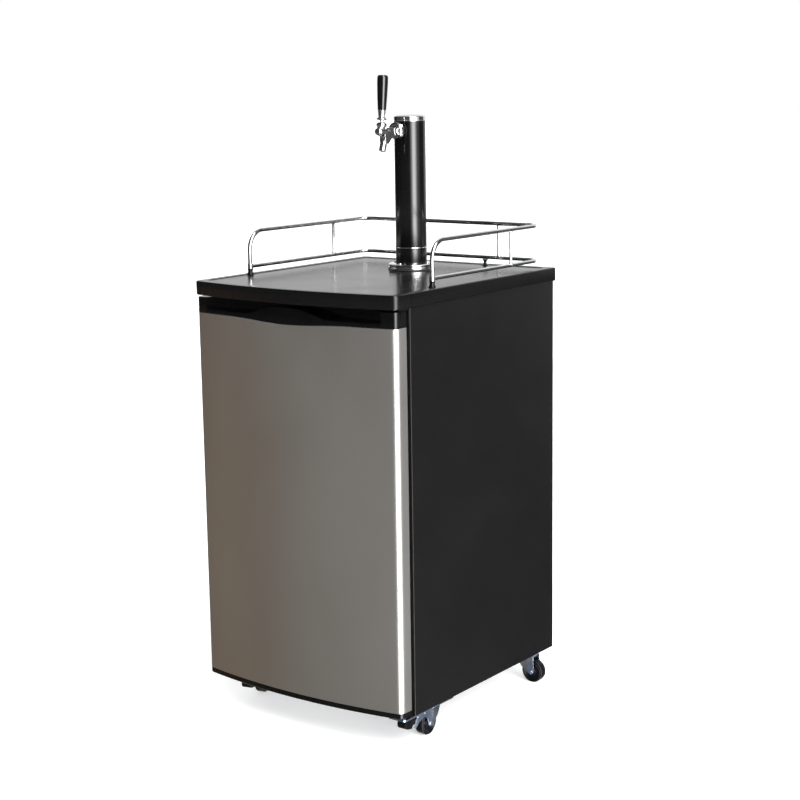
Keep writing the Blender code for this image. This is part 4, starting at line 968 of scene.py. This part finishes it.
def fork(corner, turn, braked):
    """A pressed fork: two cheeks with rear flanges, a crown, a ball race and the axle."""
    node = f"caster_fork_{corner}"
    body = f"swivel_{corner}"
    for side, name, nodes in ((-1, "left", [node]), (1, "right", [])):
        extruded(f"{node}_cheek_{name}", "zinc_steel", body, cheek_outline(braked),
                 side * (FORK_OUT - FORK_SHEET), side * FORK_OUT, turn, *nodes, axis="X", bevel=0.0003)
        cheek_flange(f"{node}_flange_{name}", body, side, turn)
    front = -0.047 if braked else -0.0284
    half = FORK_OUT - 0.0002
    crown = rounded([(-half, front, 0.001), (half, front, 0.001), (half, CREASE, 0), (0.0086, 0.0188, 0.002),
                     (-0.0086, 0.0188, 0.002), (-half, CREASE, 0)], 4)
    extruded(f"{node}_crown", "zinc_steel", body, crown, FORK_TOP - 0.0026, FORK_TOP - 0.0002, turn,
             bevel=0.0002)
    turned(f"{node}_race", "zinc_steel", body,
           [(0.0056, 0.0585, 0), (0.0185, 0.0585, 0.0012), (0.0185, 0.0652, 0.0018), (0.0162, 0.0672, 0.0008),
            (0.0056, 0.0672, 0)], turn, steps=64)
    axle_bolt(f"{node}_axle_bolt", body, turn)
    if braked:
        rivets(f"{node}_rivets", body, turn)


def wheel(corner, turn):
    """A moulded wheel with a hub, a dished web and a grooved rim on each face."""
    half = WHEEL_HALF
    face = [(0.0034, half + 0.0010, 0), (0.0072, half + 0.0010, 0.0006), (0.0086, half - 0.0026, 0.0012),
            (0.0165, half - 0.0026, 0.0012), (0.0188, half - 0.0004, 0.0010), (0.0206, half, 0.0006),
            (0.0212, half - 0.0007, 0.0002), (0.0218, half, 0.0004), (WHEEL_RADIUS, half - 0.0012, 0.0024)]
    profile = face + [(r, -h, ease) for r, h, ease in reversed(face)]
    turned(f"caster_wheel_{corner}_moulding", "wheel_black", f"wheel_{corner}", profile,
           turn @ shift(0, -TRAIL, AXLE_Z), f"caster_wheel_{corner}", axis="X", ease=5)


def caster_plate(corner):
    """A top plate with its kingpin's head below."""
    node = f"caster_plate_{corner}"
    low, high = span(node)
    under = high.z - PLATE_SHEET
    outline = rounded([(low.x, low.y, 0.006), (high.x, low.y, 0.006), (high.x, high.y, 0.006),
                       (low.x, high.y, 0.006)], 8)
    extruded(f"{node}_sheet", "zinc_steel", "cabinet", outline, under, high.z, None, node, bevel=0.0003)
    centre = (low + high) / 2
    turned(f"{node}_kingpin", "zinc_steel", "cabinet",
           [(0, 0.0553, 0), (0.0060, 0.0555, 0.001), (0.0078, 0.0563, 0.0006), (0.0078, 0.0571, 0.0003),
            (0.0050, 0.0581, 0), (0.0050, under + 0.0004, 0), (0, under + 0.0004, 0)],
           shift(centre.x, centre.y), steps=48)


def brake_pedal(corner, turn):
    """A brake's shoe by the wheel, and the pad that a foot presses."""
    node = f"brake_pedal_{corner}"
    body = f"pedal_{corner}"
    pivot = turn @ shift(0, -0.065, 0.046)
    shoe = rounded([(-0.0150, -0.0080, 0), (0.0070, -0.0060, 0.002), (0.0090, 0.0010, 0.002),
                    (0.0020, 0.0060, 0.002), (-0.0150, 0.0040, 0)], 4)
    extruded(f"{node}_shoe", "wheel_black", body, shoe, -PEDAL_HALF, PEDAL_HALF, pivot, node, axis="X",
             bevel=0.0005)
    pad = rounded([(-0.0410, -0.0100, 0.009), (-0.0190, -0.0145, 0.003), (-0.0146, -0.0085, 0.001),
                   (-0.0146, 0.0070, 0.003), (-0.0390, 0.0060, 0.005)], 8)
    extruded(f"{node}_pad", "wheel_black", body, pad, -PEDAL_HALF, PEDAL_HALF, pivot, axis="X", bevel=0.0012)


def casters():
    """All four, the front two with brakes."""
    for corner in CORNERS:
        turn = swivel_frame(corner)
        braked = corner.startswith("front")
        caster_plate(corner)
        fork(corner, turn, braked)
        wheel(corner, turn)
        if braked:
            brake_pedal(corner, turn)


def bottom_bracket_strip():
    """The bright folded edge that runs on from the lower hinge bracket, under the cabinet's right side."""
    low, high = span("hinge_bracket_bottom")
    plate_high = span("caster_plate_front_right")[1]
    inner, front, rear = plate_high.x + 0.0002, high.y + 0.0005, plate_high.y
    outline = rounded([(inner, front, 0), (high.x, front, 0), (high.x, rear + 0.004, 0.002),
                       (inner, rear + 0.001, 0)], 4)
    extruded("hinge_bracket_folded_edge", "zinc_steel", "cabinet", outline, low.z, low.z + 0.0026, None,
             bevel=0.0004)


# ---- Stage

WHITE = (1, 1, 1, 1)
AMBIENT = (0.5, 0.5, 0.5, 1)
BOX_STRENGTH = 16.0
HORIZON = (-0.135, -0.075)  # the heights between which the room below blends into the room above
FLOOR_RADIUS = 60
CAMERA_SPOT = (2.1745, -2.8367, 1.3132)
CAMERA_YAW, CAMERA_PITCH, CAMERA_ROLL = 36.684, -10.502, -0.865
CAMERA_LENS = 76.78


def ramp(nodes, source, stops):
    """A colour ramp over azimuth, from stops of (degrees, colour or grey level)."""
    made = nodes.add("ShaderNodeValToRGB")
    elements = made.color_ramp.elements
    while len(elements) > 1:
        elements.remove(elements[-1])
    for k, (degrees, colour) in enumerate(stops):
        position = (degrees + 180) / 360
        element = elements[0] if k == 0 else elements.new(position)
        element.position = position
        element.color = (*colour, 1) if isinstance(colour, tuple) else (colour, colour, colour, 1)
    nodes.link(source, made.inputs["Fac"])
    return made.outputs["Color"]


def remapped(nodes, source, low, high, **settings):
    """Maps the values from low to high onto 0 to 1."""
    made = nodes.add("ShaderNodeMapRange", **settings)
    made.inputs["From Min"].default_value = low
    made.inputs["From Max"].default_value = high
    nodes.link(source, made.inputs["Value"])
    return made.outputs["Result"]


def chosen(nodes, path, ray, otherwise, shader):
    """One shader for one kind of ray, and another for the rest."""
    made = nodes.add("ShaderNodeMixShader")
    nodes.link(path.outputs[ray], made.inputs["Fac"])
    nodes.link(otherwise.outputs[0], made.inputs[1])
    nodes.link(shader.outputs[0], made.inputs[2])
    return made


def studio():
    """A soft studio: white to look at, with bright soft boxes on the right and a dim room to reflect.

    Azimuth is 0 to the front and 90 to the right.
    """
    world = bpy.data.worlds.new("studio")
    bpy.context.scene.world = world
    world.use_nodes = True
    nodes = Nodes(world.node_tree)
    for node in list(world.node_tree.nodes):
        world.node_tree.nodes.remove(node)
    where = nodes.add("ShaderNodeTexCoord")
    split = nodes.add("ShaderNodeSeparateXYZ")
    nodes.link(where.outputs["Generated"], split.inputs["Vector"])
    flip = nodes.add("ShaderNodeMath", operation="MULTIPLY")
    flip.inputs[1].default_value = -1
    nodes.link(split.outputs["Y"], flip.inputs[0])
    azimuth = nodes.add("ShaderNodeMath", operation="ARCTAN2")
    nodes.link(split.outputs["X"], azimuth.inputs[0])
    nodes.link(flip.outputs["Value"], azimuth.inputs[1])
    around = remapped(nodes, azimuth.outputs["Value"], -math.pi, math.pi)
    front = [(-75, 0.06), (-64, (0.34, 0.21, 0.11)), (-57, (0.27, 0.19, 0.125)),
             (-50, (0.17, 0.145, 0.115)), (-38, (0.185, 0.172, 0.158)), (-25, (0.27, 0.26, 0.245)),
             (-5, (0.29, 0.285, 0.27)), (20, 0.28), (40, 0.28)]
    dim = [(degrees, 0.40 * (level[1] if isinstance(level, tuple) else level)) for degrees, level in front]
    below = ramp(nodes, around, [(-180, 0.6), (-172, 1.0), (-110, 0.8), (-90, 0.10), *front, (112, 0.32),
                                 (125, 0.42), (142, 0.40), (149, 0.12), (176, 0.12), (180, 0.6)])
    above = ramp(nodes, around, [(-180, 1.0), (-130, 1.0), (-105, 0.02), *dim, (112, 0.10), (152, 0.13),
                                 (160, 1.0), (180, 1.0)])
    boxes = ramp(nodes, around, [(-180, 0), (36, 0), (48, 0.30), (56, 0.85), (62, 1.0), (72, 0.9), (80, 0.36),
                                 (90, 0.07), (106, 0.04), (112, 0), (180, 0)])
    room = nodes.add("ShaderNodeMix", data_type="RGBA")
    nodes.link(remapped(nodes, split.outputs["Z"], *HORIZON, interpolation_type="SMOOTHSTEP"),
               room.inputs["Factor"])
    nodes.link(below, room.inputs[6])
    nodes.link(above, room.inputs[7])
    reflected = nodes.add("ShaderNodeBackground")
    nodes.link(room.outputs[2], reflected.inputs["Color"])
    glow = nodes.add("ShaderNodeBackground", Strength=BOX_STRENGTH)
    nodes.link(boxes, glow.inputs["Color"])
    glossy = nodes.add("ShaderNodeAddShader")
    nodes.link(reflected.outputs["Background"], glossy.inputs[0])
    nodes.link(glow.outputs["Background"], glossy.inputs[1])
    path = nodes.add("ShaderNodeLightPath")
    bounce = chosen(nodes, path, "Is Diffuse Ray", glossy, nodes.add("ShaderNodeBackground", Color=AMBIENT))
    seen = chosen(nodes, path, "Is Camera Ray", bounce, nodes.add("ShaderNodeBackground", Color=WHITE))
    output = nodes.add("ShaderNodeOutputWorld")
    nodes.link(seen.outputs["Shader"], output.inputs["Surface"])


def floor():
    """A pale round floor that glossy pieces don't reflect."""
    bm = bmesh.new()
    rim = [(FLOOR_RADIUS * math.cos(a), FLOOR_RADIUS * math.sin(a))
           for a in (math.tau * k / 96 for k in range(96))]
    prism(bm, rim, -0.02, 0)
    made = mesh_object("floor", bm)
    look = new_material("floor_look", (0.86, 0.86, 0.86), 0.9, Emission_Color=WHITE,
                        Emission_Strength=0.42)[0]
    made.data.materials.append(look)
    made.visible_glossy = False


def area_light(name, at, size, power):
    """A soft light that looks at the cabinet's middle."""
    data = bpy.data.lights.new(name, "AREA")
    data.shape = "RECTANGLE"
    data.size, data.size_y = size
    data.energy = power
    made = placed(name, data)
    made.location = at
    made.rotation_euler = (Vector((0, 0, 0.5)) - Vector(at)).to_track_quat("-Z", "Y").to_euler()
    made.visible_glossy = False
    made.visible_camera = False


def lights():
    """Three soft lights, whose reflections are left to the studio's own boxes."""
    area_light("key", (1.6, -2.0, 3.4), (2.4, 2.4), 60)
    area_light("fill", (-2.4, -1.2, 2.6), (2.4, 2.4), 28)
    area_light("rear", (0.5, 2.6, 2.8), (2.4, 2.0), 30)


def camera():
    """The camera, turned by its yaw, then its pitch, then its roll."""
    yaw, pitch, roll = (math.radians(turn) for turn in (CAMERA_YAW, CAMERA_PITCH, CAMERA_ROLL))
    ahead = Vector((-math.sin(yaw) * math.cos(pitch), math.cos(yaw) * math.cos(pitch), math.sin(pitch)))
    right = Vector((math.cos(yaw), math.sin(yaw), 0))
    up = right.cross(ahead)
    side = right * math.cos(roll) + up * math.sin(roll)
    above = -right * math.sin(roll) + up * math.cos(roll)
    data = bpy.data.cameras.new("camera")
    data.sensor_width = 36
    data.lens = CAMERA_LENS
    data.clip_end = 200
    made = placed("camera", data)
    turn = Matrix((side, above, -ahead)).transposed().to_4x4()
    made.matrix_world = Matrix.Translation(CAMERA_SPOT) @ turn
    bpy.context.scene.camera = made


# ---- Everything

def dress_cad_nodes():
    """Gives every CAD node its finish; those that are replaced don't show."""
    slots = {entry["node"]: entry["material_slot"] for entry in frame["record"]["subparts"]}
    for name, node in frame["nodes"].items():
        for k in range(len(node.material_slots)):
            node.material_slots[k].material = finishes[slots[name]]


dress_cad_nodes()
cabinet_shell()
worktop()
door_skin()
door_cap()
door_trim()
door_gasket()
guard_rail()
tower()
shank_parts()
faucet()
casters()
bottom_bracket_strip()
studio()
floor()
lights()
camera()
bpy.context.scene.view_settings.view_transform = "Standard"
